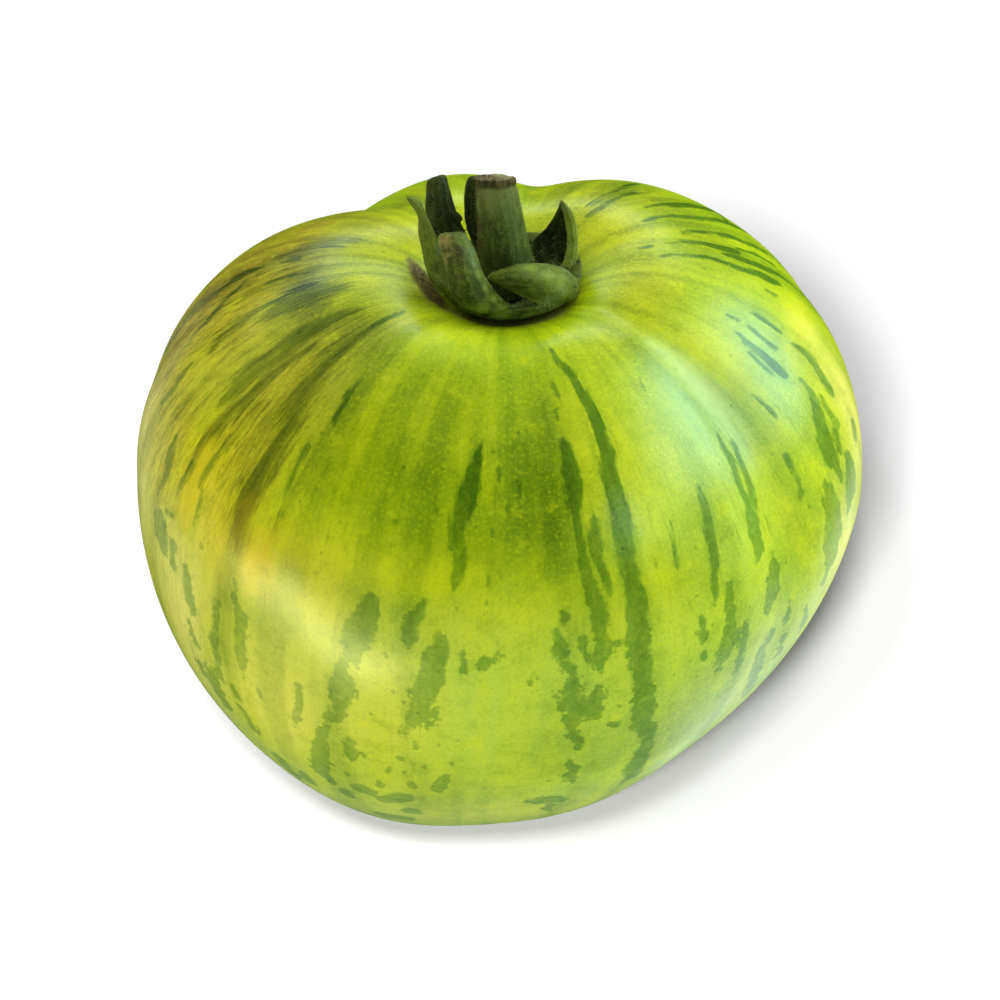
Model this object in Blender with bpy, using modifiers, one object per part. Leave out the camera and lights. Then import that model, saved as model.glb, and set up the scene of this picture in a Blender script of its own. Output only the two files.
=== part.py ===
"""A green zebra tomato as picked: the ribbed fruit, its calyx of six sepals and a cut stub of stalk.

Lengths are in metres and +Z is up. The stalk's axis is the Z axis, and the fruit rests on its
flattened blossom end at z = 0. Longitudes are in degrees round from +X, so -90 is the near side.
"""

import math

import bmesh
import bpy
from mathutils import Matrix, Vector

NAME = "green_zebra_tomato"
MM = 0.001
GAP = 0.3 * MM  # clearance between pieces that touch

# The fruit: its lengths follow from the radius of its waist, the widest ring
WAIST = 36.0 * MM
CROWN = 0.70 * WAIST  # rise from the waist to the crown, before the dimple is sunk in it
DROP = 1.05 * WAIST  # drop from the waist to the blossom end, before it is flattened
FLATTENED = 1.0 * MM  # how much of the blossom end the resting spot takes off
SOFT_EDGE = 1.5 * MM  # how gently the resting spot runs into the skin round it
SHOULDER_FULLNESS = 2.24  # 2 gives an ellipse, more a squarer shoulder
BASE_FULLNESS = 2.55
TAPER = 0.265  # how far the base narrows
TAPER_ONSET = 1.5  # more keeps the narrowing nearer the blossom end
TAPER_BIAS = 0.2  # how much more of that narrowing is on the +X side than on average
CORNERS = 0.013  # the waist's slight three-cornered outline
LEAN = 0.087  # how far the base drifts to -X for each unit that it drops
DIMPLE_DEPTH = 0.192 * WAIST  # the hollow that the stalk grows from
DIMPLE_WIDTH = 0.25 * WAIST

# The creases between the lobes: longitude at the crown, drift from there to the waist, then the
# depth of the broad valley on the shoulder and low down and of the narrow fold in it, in waists.
# A depth below zero swells the lobe there instead.
CREASES = [
    (-31, -10, 0.045, 0.020, 0.030),
    (-85, 0, 0.018, 0.020, 0.008),
    (-148, 20, 0.018, -0.020, 0.008),
    (173, 0, 0.010, -0.005, 0.012),
    (125, 0, 0.077, 0.007, 0.020),
    (82, 0, 0.083, 0.008, 0.020),
    (22, 0, -0.002, 0.010, 0.010),
]
VALLEY_WIDTH = 18.5  # degrees of longitude
VALLEY_SHOULDER = 42  # degrees down from the crown where a valley is deepest on the shoulder
VALLEY_LOW = 115  # and where it is deepest low down
VALLEY_REACH = 34  # degrees up and down over which each depth fades
FOLD_WIDTH = 6.5
FOLD_HEIGHT = 58  # degrees down from the crown where a fold is deepest
FOLD_REACH = 38
CREASE_START = 12  # degrees down from the crown over which the creases set in
CREASE_SINK = 0.8  # how much of a crease's depth also lowers the skin

# How finely the fruit is cut into facets
MERIDIANS = 80
RINGS = 40
CROWDING = 0.35  # how much closer together the rings lie at the poles

# The calyx: a fleshy cup in the dimple, and the sepals that grow from its rim
CUP_RADIUS = 6.9 * MM
CUP_BIAS = 0.08  # how much further the cup reaches to +X than on average
CUP_SEAT = 3.4 * MM  # radius of the level seat that the stalk stands on
CUP_FLOOR = 1.6 * MM  # thickness at the edge of the seat
CUP_RIM = 2.4 * MM  # thickness at the rim
CUP_THICKENING = 6  # more keeps the extra thickness nearer the rim
CUP_ROUNDING = 0.5  # 1 gives a sharp rim, less a rounder one
CUP_MERIDIANS = 36
CUP_RINGS = 12
SEPAL_THICKNESS = 1.0 * MM
SEPAL_CHANNEL = 0.25  # how far a sepal's edges stand up, in half widths
SEPAL_LENGTHWISE = 12  # facets along a sepal
SEPAL_CROSSWISE = 4
SEPAL_FOCUS = 14 * MM  # height over the dimple of the point that the sepals' inner faces look at

# Each sepal's run from its root in the cup's rim to its tip: longitude, radius from the stalk's
# axis, height over the skin, half width, and roll of the blade about its run in degrees
SEPALS = {
    "front": [
        (-104, 5.2, 0.9, 2.0, 10),
        (-110, 6.0, 2.0, 2.0, 20),
        (-121, 6.6, 3.6, 1.9, 25),
        (-132, 6.9, 5.6, 1.7, 25),
        (-139, 6.9, 8.0, 1.4, 25),
    ],
    "left": [
        (176, 5.2, 0.9, 1.9, 0),
        (177, 6.4, 2.0, 2.0, 0),
        (178, 7.3, 4.2, 1.7, 0),
        (180, 7.6, 6.6, 1.1, 0),
        (182, 9.0, 8.4, 0.6, 0),
    ],
    "back_left": [
        (146, 5.2, 0.9, 1.7, -10),
        (148, 6.2, 2.0, 2.0, -20),
        (150, 6.9, 4.2, 2.0, -35),
        (153, 7.0, 7.2, 1.6, -40),
        (156, 7.2, 10.0, 1.0, -40),
    ],
    "back": [
        (116, 5.0, 0.9, 1.2, 0),
        (118, 5.6, 2.2, 1.4, 0),
        (122, 5.6, 4.6, 1.3, 0),
        (125, 5.2, 7.4, 1.1, 0),
        (128, 5.0, 10.0, 0.9, 0),
    ],
    "back_right": [
        (48, 5.2, 0.9, 2.2, 0),
        (47, 6.2, 2.0, 2.4, 5),
        (44, 6.8, 3.2, 1.9, 10),
        (39, 6.9, 4.8, 1.0, 10),
        (35, 6.7, 6.6, 0.4, 10),
    ],
    "front_right": [
        (-12, 5.4, 0.9, 1.8, 15),
        (-25, 6.3, 2.0, 2.1, 35),
        (-44, 6.8, 3.2, 2.1, 55),
        (-66, 6.4, 4.1, 1.8, 70),
        (-88, 5.8, 4.4, 1.3, 80),
        (-110, 5.3, 4.0, 0.5, 85),
    ],
}

# The stalk's stub
STALK_HEIGHT = 12.1 * MM
STALK_FOOT = 3.0 * MM  # radius where it leaves the cup
STALK_TOP = 1.95 * MM  # radius at the cut
STALK_LEAN = 1.0 * MM  # how far the cut's middle stands to -X of the foot's
STALK_CURVE = 1.5  # more keeps the flare nearer the foot and the lean nearer the cut
STALK_CUT_SLOPE = 0.45  # fall of the slanting cut towards the far side
STALK_RIDGES = 5
STALK_RIDGE_DEPTH = 0.05  # in radii
STALK_SIDES = 20
STALK_RINGS = 6

HALVINGS = 24  # steps of the search for the skin's height
SHARP_ANGLE = 50  # degrees past which an edge of the calyx is shaded sharp

# Principled base colours, roughness and metallic value
SKIN = ((0.36, 0.47, 0.03, 1.0), 0.32, 0.0)
SEPAL_GREEN = ((0.06, 0.15, 0.03, 1.0), 0.6, 0.0)
STALK_GREEN = ((0.08, 0.15, 0.04, 1.0), 0.65, 0.0)


def clear_scene():
    for thing in list(bpy.data.objects):
        bpy.data.objects.remove(thing, do_unlink=True)


def new_collection(name):
    collection = bpy.data.collections.new(name)
    bpy.context.scene.collection.children.link(collection)
    return collection


def material(name, look):
    """One Principled material of an even colour."""
    made = bpy.data.materials.new(name)
    made.use_nodes = True
    shader = made.node_tree.nodes["Principled BSDF"]
    shader.inputs["Base Color"].default_value = look[0]
    shader.inputs["Roughness"].default_value = look[1]
    shader.inputs["Metallic"].default_value = look[2]
    return made


def new_piece(name, shape, look, collection):
    """A named, smooth-shaded object made from a bmesh, which is used up."""
    mesh = bpy.data.meshes.new(name)
    shape.to_mesh(mesh)
    shape.free()
    mesh.shade_smooth()
    mesh.materials.append(look)
    piece = bpy.data.objects.new(name, mesh)
    collection.objects.link(piece)
    return piece


def fade(value, centre, reach):
    """1 at the centre, falling smoothly to almost nothing at twice the reach."""
    return math.exp(-(((value - centre) / reach) ** 2))


def turn_between(longitude, other):
    """The shorter way round from one longitude to another, in degrees."""
    return (longitude - other + 180) % 360 - 180


def fullness(value, power):
    """A sine or cosine bent so that the profile it draws is fuller than an ellipse."""
    return math.copysign(abs(value) ** (2 / power), value)


def crease_depth(colatitude, longitude):
    """The share of the fruit's radius that the creases take off at one place."""
    depth = 0
    for crown, drift, shoulder, low, fold in CREASES:
        aside = turn_between(longitude, crown + drift * colatitude / 90)
        valley = shoulder * fade(colatitude, VALLEY_SHOULDER, VALLEY_REACH)
        valley += low * fade(colatitude, VALLEY_LOW, VALLEY_REACH)
        depth += valley * fade(aside, 0, VALLEY_WIDTH)
        depth += fold * fade(colatitude, FOLD_HEIGHT, FOLD_REACH) * fade(aside, 0, FOLD_WIDTH)
    return depth * (1 - fade(colatitude, 0, CREASE_START))


def skin_point(colatitude, longitude):
    """The skin's place at an angle down from the crown and an angle round from +X, in degrees."""
    down = math.radians(colatitude)
    turn = math.radians(longitude)
    upper = colatitude < 90
    power = SHOULDER_FULLNESS if upper else BASE_FULLNESS
    across = fullness(math.sin(down), power)
    rise = fullness(math.cos(down), power)
    taper = TAPER * max(-rise, 0) ** TAPER_ONSET * (1 + TAPER_BIAS * math.cos(turn))
    outline = 1 - CORNERS * math.cos(3 * turn)
    crease = crease_depth(colatitude, longitude)
    radius = WAIST * across * (1 - taper) * outline * (1 - crease)
    z = (CROWN if upper else DROP) * rise * (1 - CREASE_SINK * crease)
    if upper:
        z -= DIMPLE_DEPTH * fade(radius, 0, DIMPLE_WIDTH)
    lean = LEAN * min(z, 0)
    over_spot = z + DROP - FLATTENED
    softened = (over_spot + math.hypot(over_spot, SOFT_EDGE) - SOFT_EDGE) / 2
    return Vector((radius * math.cos(turn) + lean, radius * math.sin(turn), max(softened, 0)))


def skin_height(radius, longitude):
    """The height of the skin near the stalk, at a distance from its axis."""
    low, high = 0.0, 90.0
    for _ in range(HALVINGS):
        middle = (low + high) / 2
        place = skin_point(middle, longitude)
        if math.hypot(place.x, place.y) < radius:
            low = middle
        else:
            high = middle
    return skin_point(low, longitude).z


def round_angles(place):
    """How far down and how far round a point of a unit sphere lies, in degrees."""
    down = math.degrees(math.acos(max(-1.0, min(1.0, place.z))))
    return down, math.degrees(math.atan2(place.y, place.x))


def make_fruit(collection):
    """A sphere whose every point is moved to the skin's place at the same two angles."""
    shape = bmesh.new()
    bmesh.ops.create_uvsphere(shape, u_segments=MERIDIANS, v_segments=RINGS, radius=1)
    for vertex in shape.verts:
        down, turn = round_angles(vertex.co)
        crowded = down - math.degrees(CROWDING * math.sin(2 * math.radians(down)) / 2)
        vertex.co = skin_point(crowded, turn)
    return new_piece("fruit", shape, material("tomato skin", SKIN), collection)


def make_cup(look, collection):
    """The calyx's cup: a sphere flattened on to the dimple, thicker at its rounded rim."""
    shape = bmesh.new()
    bmesh.ops.create_uvsphere(shape, u_segments=CUP_MERIDIANS, v_segments=CUP_RINGS, radius=1)
    for vertex in shape.verts:
        down, turn = round_angles(vertex.co)
        out = math.sin(math.radians(down))
        angle = math.radians(turn)
        radius = CUP_RADIUS * out * (1 + CUP_BIAS * math.cos(angle))
        thickness = CUP_FLOOR + (CUP_RIM - CUP_FLOOR) * out**CUP_THICKENING
        share = (1 + fullness(math.cos(math.radians(down)), 2 / CUP_ROUNDING)) / 2
        under = skin_height(radius, turn) + GAP
        over = skin_height(max(radius, CUP_SEAT), turn) + GAP + thickness
        z = under + (over - under) * share
        vertex.co = Vector((radius * math.cos(angle), radius * math.sin(angle), z))
    return new_piece("calyx", shape, look, collection)


def along(run, share):
    """The values of a run at a share of its way, on a smooth curve through all its points."""
    place = share * (len(run) - 1)
    start = min(int(place), len(run) - 2)
    f = place - start
    before, a, b, after = (run[max(0, min(len(run) - 1, start + k))] for k in (-1, 0, 1, 2))
    weights = (
        (2 * f**2 - f - f**3) / 2,
        (2 - 5 * f**2 + 3 * f**3) / 2,
        (f + 4 * f**2 - 3 * f**3) / 2,
        (f**3 - f**2) / 2,
    )
    columns = zip(before, a, b, after)
    return [sum(w * v for w, v in zip(weights, column)) for column in columns]


def sepal_spine(run, share):
    """A point on the middle line of a sepal."""
    longitude, radius, height = along(run, share)[:3]
    turn = math.radians(longitude)
    z = skin_height(radius * MM, longitude) + GAP + height * MM
    return Vector((radius * MM * math.cos(turn), radius * MM * math.sin(turn), z))


def make_sepal(name, run, focus, look, collection):
    """A grid laid along the sepal's run, channelled towards the stalk and given its thickness."""
    shape = bmesh.new()
    bmesh.ops.create_grid(
        shape, x_segments=SEPAL_CROSSWISE, y_segments=SEPAL_LENGTHWISE, size=1
    )
    step = 0.01
    for vertex in shape.verts:
        side = vertex.co.x
        share = (vertex.co.y + 1) / 2
        half_width, roll = along(run, share)[3:]
        middle = sepal_spine(run, share)
        forward = sepal_spine(run, min(share + step, 1)) - sepal_spine(run, max(share - step, 0))
        forward.normalize()
        inward = focus - middle
        inward = (inward - inward.dot(forward) * forward).normalized()
        inward.rotate(Matrix.Rotation(math.radians(roll), 3, forward))
        across = forward.cross(inward)
        reach = half_width * MM
        vertex.co = middle + across * reach * side + inward * SEPAL_CHANNEL * reach * side**2
    piece = new_piece(name, shape, look, collection)
    shell = piece.modifiers.new("thickness", "SOLIDIFY")
    shell.thickness = SEPAL_THICKNESS
    shell.offset = 0
    return piece


def fuse(piece, others):
    """Joins every object of a collection to one piece, and removes them and the collection."""
    union = piece.modifiers.new("grown together", "BOOLEAN")
    union.operation = "UNION"
    union.operand_type = "COLLECTION"
    union.collection = others
    union.solver = "EXACT"
    union.use_self = True
    graph = bpy.context.evaluated_depsgraph_get()
    joined = bpy.data.meshes.new_from_object(piece.evaluated_get(graph))
    piece.modifiers.clear()
    piece.data = joined
    joined.shade_smooth()
    joined.set_sharp_from_angle(angle=math.radians(SHARP_ANGLE))
    for thing in list(others.objects):
        bpy.data.objects.remove(thing, do_unlink=True)
    bpy.data.collections.remove(others)


def make_calyx(collection):
    """The cup with its six sepals grown out of it, in one piece."""
    look = material("sepal green", SEPAL_GREEN)
    cup = make_cup(look, collection)
    focus = Vector((0, 0, skin_height(0, 0) + SEPAL_FOCUS))
    sepals = new_collection("sepals")
    for name, run in SEPALS.items():
        make_sepal("sepal_" + name, run, focus, look, sepals)
    fuse(cup, sepals)
    return cup


def make_stalk(collection):
    """The stub that stays on the picked fruit: a leaning, ridged cone with a slanting cut."""
    foot = skin_height(CUP_SEAT, 0) + GAP + CUP_FLOOR + GAP
    shape = bmesh.new()
    bmesh.ops.create_cone(
        shape, cap_ends=True, segments=STALK_SIDES, radius1=1, radius2=1, depth=1
    )
    upright = [edge for edge in shape.edges if edge.verts[0].co.z * edge.verts[1].co.z < 0]
    bmesh.ops.subdivide_edges(shape, edges=upright, cuts=STALK_RINGS - 1, use_grid_fill=True)
    for vertex in shape.verts:
        share = vertex.co.z + 0.5
        turn = math.atan2(vertex.co.y, vertex.co.x)
        radius = STALK_TOP + (STALK_FOOT - STALK_TOP) * (1 - share) ** STALK_CURVE
        radius *= 1 + STALK_RIDGE_DEPTH * math.cos(STALK_RIDGES * turn)
        x = radius * math.cos(turn) - STALK_LEAN * share**STALK_CURVE
        y = radius * math.sin(turn)
        vertex.co = Vector((x, y, foot + (STALK_HEIGHT - STALK_CUT_SLOPE * y) * share))
    return new_piece("stem", shape, material("stalk green", STALK_GREEN), collection)


clear_scene()
tomato = new_collection(NAME)
make_fruit(tomato)
make_calyx(tomato)
make_stalk(tomato)
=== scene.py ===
"""The green zebra tomato as it looks: its striped skin, its calyx, the stalk's stub and the studio.

Lengths are in metres unless a name says MM. Longitudes go round from +X in degrees, so -90 is the
near side, and colatitudes go down from the crown. Places read off the photograph are pixels of
its 1000 x 1000 frame.
"""

import math

import bmesh
import bpy
import numpy as np
from mathutils import Matrix, Quaternion, Vector, noise
from mathutils.bvhtree import BVHTree
from mathutils.kdtree import KDTree


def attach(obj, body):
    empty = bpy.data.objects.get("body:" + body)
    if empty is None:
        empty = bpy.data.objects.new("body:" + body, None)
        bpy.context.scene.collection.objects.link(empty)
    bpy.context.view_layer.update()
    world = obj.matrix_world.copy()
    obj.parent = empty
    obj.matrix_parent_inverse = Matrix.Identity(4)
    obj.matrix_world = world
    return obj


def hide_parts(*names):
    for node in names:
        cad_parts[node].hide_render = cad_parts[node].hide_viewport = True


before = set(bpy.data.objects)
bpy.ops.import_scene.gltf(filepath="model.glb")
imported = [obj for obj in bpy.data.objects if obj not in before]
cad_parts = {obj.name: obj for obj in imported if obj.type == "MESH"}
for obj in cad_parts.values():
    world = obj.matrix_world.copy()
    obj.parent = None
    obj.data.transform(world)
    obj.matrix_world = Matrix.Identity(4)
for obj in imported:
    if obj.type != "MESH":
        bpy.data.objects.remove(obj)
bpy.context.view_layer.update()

MM = 0.001

# Camera
# It looks down on the fruit from where the photograph was taken. The waist is the fruit's widest
# ring, and its centre and radius in the picture set the camera's distance, aim and lens.
WAIST = 36.0 * MM
WAIST_HEIGHT = 36.05 * MM
PICTURE = 1000  # pixels across
WAIST_CENTRE_PX = (504.3, 460.5)
WAIST_RADIUS_PX = 362.3
CAMERA_ELEVATION = math.radians(37)
CAMERA_DISTANCE = 11 * WAIST
SENSOR_MM = 36

focal_px = WAIST_RADIUS_PX * CAMERA_DISTANCE / WAIST
away = Vector((0, -math.cos(CAMERA_ELEVATION), math.sin(CAMERA_ELEVATION)))
upward = Vector((0, math.sin(CAMERA_ELEVATION), math.cos(CAMERA_ELEVATION)))
aside_share = (WAIST_CENTRE_PX[0] - PICTURE / 2) / focal_px
above_share = (PICTURE / 2 - WAIST_CENTRE_PX[1]) / focal_px
camera_back = (away + Vector((1, 0, 0)) * aside_share + upward * above_share).normalized()
camera_right = Vector((0, 0, 1)).cross(camera_back).normalized()
camera_turn = Matrix((camera_right, camera_back.cross(camera_right), camera_back)).transposed()

camera = bpy.data.objects.new("camera", bpy.data.cameras.new("camera"))
camera.matrix_world = camera_turn.to_4x4()
camera.location = Vector((0, 0, WAIST_HEIGHT)) + away * CAMERA_DISTANCE
camera.data.sensor_width = SENSOR_MM
camera.data.lens = focal_px / PICTURE * SENSOR_MM
bpy.context.scene.collection.objects.link(camera)
bpy.context.scene.camera = camera

# Fruit
# One ribbed berry, firm flesh under a thin waxy skin, that grew round the stalk. Seven creases run
# down from the dimple between its lobes, it leans a little, and it rests on a flat spot where the
# flower was.
CROWN = 0.70 * WAIST  # rise from the waist to the crown, before the dimple is sunk in it
DROP = 1.05 * WAIST  # drop from the waist to the blossom end, before it is flattened
FLATTENED = 1.0 * MM
SOFT_EDGE = 1.5 * MM
SHOULDER_FULLNESS = 2.24
BASE_FULLNESS = 2.55
TAPER = 0.265
TAPER_ONSET = 1.5
TAPER_BIAS = 0.2
CORNERS = 0.013
LEAN = 0.087
DIMPLE_DEPTH = 0.192 * WAIST
DIMPLE_WIDTH = 0.25 * WAIST
INSET = 0.11 * MM  # keeps the round skin inside the box of the faceted one
# Longitude at the crown, drift to the waist, depth of the valley on the shoulder and low down, and
# depth of the fold in it, in waists
CREASES = [
    (-31, -10, 0.045, 0.020, 0.030),
    (-85, 0, 0.018, 0.020, 0.008),
    (-148, 20, 0.018, -0.020, 0.008),
    (173, 0, 0.010, -0.005, 0.012),
    (125, 0, 0.077, 0.007, 0.020),
    (82, 0, 0.083, 0.008, 0.020),
    (22, 0, -0.002, 0.010, 0.010),
]
VALLEY_WIDTH = 18.5
VALLEY_SHOULDER = 42
VALLEY_LOW = 115
VALLEY_REACH = 34
FOLD_WIDTH = 6.5
FOLD_HEIGHT = 58
FOLD_REACH = 38
CREASE_START = 12
CREASE_SINK = 0.8
MERIDIANS = 580
RINGS = 168
BELT_CROWDING = 0.22  # how much closer together the rings lie round the waist
NEAR_CROWDING = 0.28  # how much closer together the meridians lie on the near side
HALVINGS = 24  # of the range in which a place on the skin is looked for


def fade(value, centre, reach):
    """1 at the centre, falling smoothly to almost nothing at twice the reach."""
    return np.exp(-(((value - centre) / reach) ** 2))


def turn_between(longitude, other):
    """The shorter way round from one longitude to another, in degrees."""
    return (longitude - other + 180) % 360 - 180


def crease_depth(colatitude, longitude):
    """The share of the fruit's radius that the creases take off at each place."""
    depth = 0
    for crown, drift, shoulder, low, fold in CREASES:
        aside = turn_between(longitude, crown + drift * colatitude / 90)
        valley = shoulder * fade(colatitude, VALLEY_SHOULDER, VALLEY_REACH)
        valley = valley + low * fade(colatitude, VALLEY_LOW, VALLEY_REACH)
        depth = depth + valley * fade(aside, 0, VALLEY_WIDTH)
        depth = depth + fold * fade(colatitude, FOLD_HEIGHT, FOLD_REACH) * fade(aside, 0, FOLD_WIDTH)
    return depth * (1 - fade(colatitude, 0, CREASE_START))


def skin(colatitude, longitude):
    """The skin's points at angles down from the crown and round from +X, in degrees."""
    down, turn = np.radians(colatitude), np.radians(longitude)
    upper = colatitude < 90
    power = 2 / np.where(upper, SHOULDER_FULLNESS, BASE_FULLNESS)
    across = np.abs(np.sin(down)) ** power
    rise = np.sign(np.cos(down)) * np.abs(np.cos(down)) ** power
    taper = TAPER * np.maximum(-rise, 0) ** TAPER_ONSET * (1 + TAPER_BIAS * np.cos(turn))
    crease = crease_depth(colatitude, longitude)
    radius = WAIST * across * (1 - taper) * (1 - CORNERS * np.cos(3 * turn)) * (1 - crease)
    z = np.where(upper, CROWN, DROP) * rise * (1 - CREASE_SINK * crease)
    z = z - np.where(upper, DIMPLE_DEPTH * fade(radius, 0, DIMPLE_WIDTH), 0)
    lean = LEAN * np.minimum(z, 0)
    over = z + DROP - FLATTENED
    z = np.maximum((over + np.hypot(over, SOFT_EDGE) - SOFT_EDGE) / 2, 0)
    radius = radius - INSET * across
    return np.stack([radius * np.cos(turn) + lean, radius * np.sin(turn), z], axis=-1)


def skin_height(radius, longitude):
    """The height of the skin near the stalk, at distances from its axis."""
    low = np.zeros(np.broadcast(radius, longitude).shape)
    high = low + 90
    for _ in range(HALVINGS):
        middle = (low + high) / 2
        place = skin(middle, longitude)
        short = np.hypot(place[..., 0], place[..., 1]) < radius
        low, high = np.where(short, middle, low), np.where(short, high, middle)
    return skin(low, longitude)[..., 2]


def ball(name, rounds, rings):
    """A sphere's faces in a new mesh, with how far down and round each point lies, in degrees."""
    down, turn = np.meshgrid(np.linspace(0, 180, rings + 1)[1:-1], np.arange(rounds) * 360 / rounds)
    down = np.append(down.T.ravel(), [0, 180])
    turn = np.append(turn.T.ravel() - 180, [0, 0])
    top, bottom = len(down) - 2, len(down) - 1
    here = np.arange(rounds)
    beside = np.roll(here, -1)
    faces = []
    for ring in range(rings - 2):
        upper, lower = ring * rounds, (ring + 1) * rounds
        faces += np.stack([upper + here, lower + here, lower + beside, upper + beside], 1).tolist()
    faces += [(top, a, b) for a, b in zip(here.tolist(), beside.tolist())]
    faces += [(bottom, lower + b, lower + a) for a, b in zip(here.tolist(), beside.tolist())]
    mesh = bpy.data.meshes.new(name)
    mesh.from_pydata(np.zeros((len(down), 3)), [], faces)
    mesh.shade_smooth()
    return mesh, down, turn


def vectors(items, key):
    """The vectors that the points of a mesh hold under a key, as an array."""
    flat = np.empty(3 * len(items))
    items.foreach_get(key, flat)
    return flat.reshape(-1, 3)


def move_to(mesh, places):
    """Moves the points of a mesh to new places."""
    mesh.vertices.foreach_set("co", places.ravel())
    mesh.update()


def paint(mesh, name, values):
    """Keeps a value for each point of a mesh under a name, for its material to read."""
    layer = mesh.attributes.new(name, "FLOAT_VECTOR" if values.ndim == 2 else "FLOAT", "POINT")
    layer.data.foreach_set("vector" if values.ndim == 2 else "value", values.ravel())


def tree_of(mesh):
    """A mesh in the form that finds where a ray meets it, or the place on it nearest to another."""
    faces = [face.vertices[:] for face in mesh.polygons]
    return BVHTree.FromPolygons([Vector(place) for place in vectors(mesh.vertices, "co")], faces)


def stand(name, mesh, look, node=None):
    """Puts a finished mesh in the scene, in place of a solid of the frame where one is named."""
    piece = bpy.data.objects.new(name, mesh)
    mesh.materials.append(look)
    bpy.context.scene.collection.objects.link(piece)
    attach(piece, "root")
    if node:
        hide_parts(node)
    return piece


fruit_mesh, down, turn = ball("fruit_skin", MERIDIANS, RINGS)
down = down + math.degrees(BELT_CROWDING / 2) * np.sin(2 * np.radians(down))
turn = turn - math.degrees(NEAR_CROWDING) * np.sin(np.radians(turn + 90))
places = skin(down, turn)
move_to(fruit_mesh, places)
rounds_mm = np.hypot(places[:, 0], places[:, 1]) / MM
along_mm = WAIST / MM * np.radians(down)
fruit_tree = tree_of(fruit_mesh)


def sight(x, y):
    """The way from the camera through a pixel of the photograph."""
    return camera_turn @ Vector(((x - PICTURE / 2) / focal_px, (PICTURE / 2 - y) / focal_px, -1))


def seen_at(x, y, tree=fruit_tree):
    """The place on a piece, the skin at first, that shows at a pixel of the photograph."""
    hit = tree.ray_cast(camera.location, sight(x, y).normalized())[0]
    if hit is None:
        hit = tree.find_nearest(camera.location + sight(x, y) * CAMERA_DISTANCE)[0]
    return np.array(hit)


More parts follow.
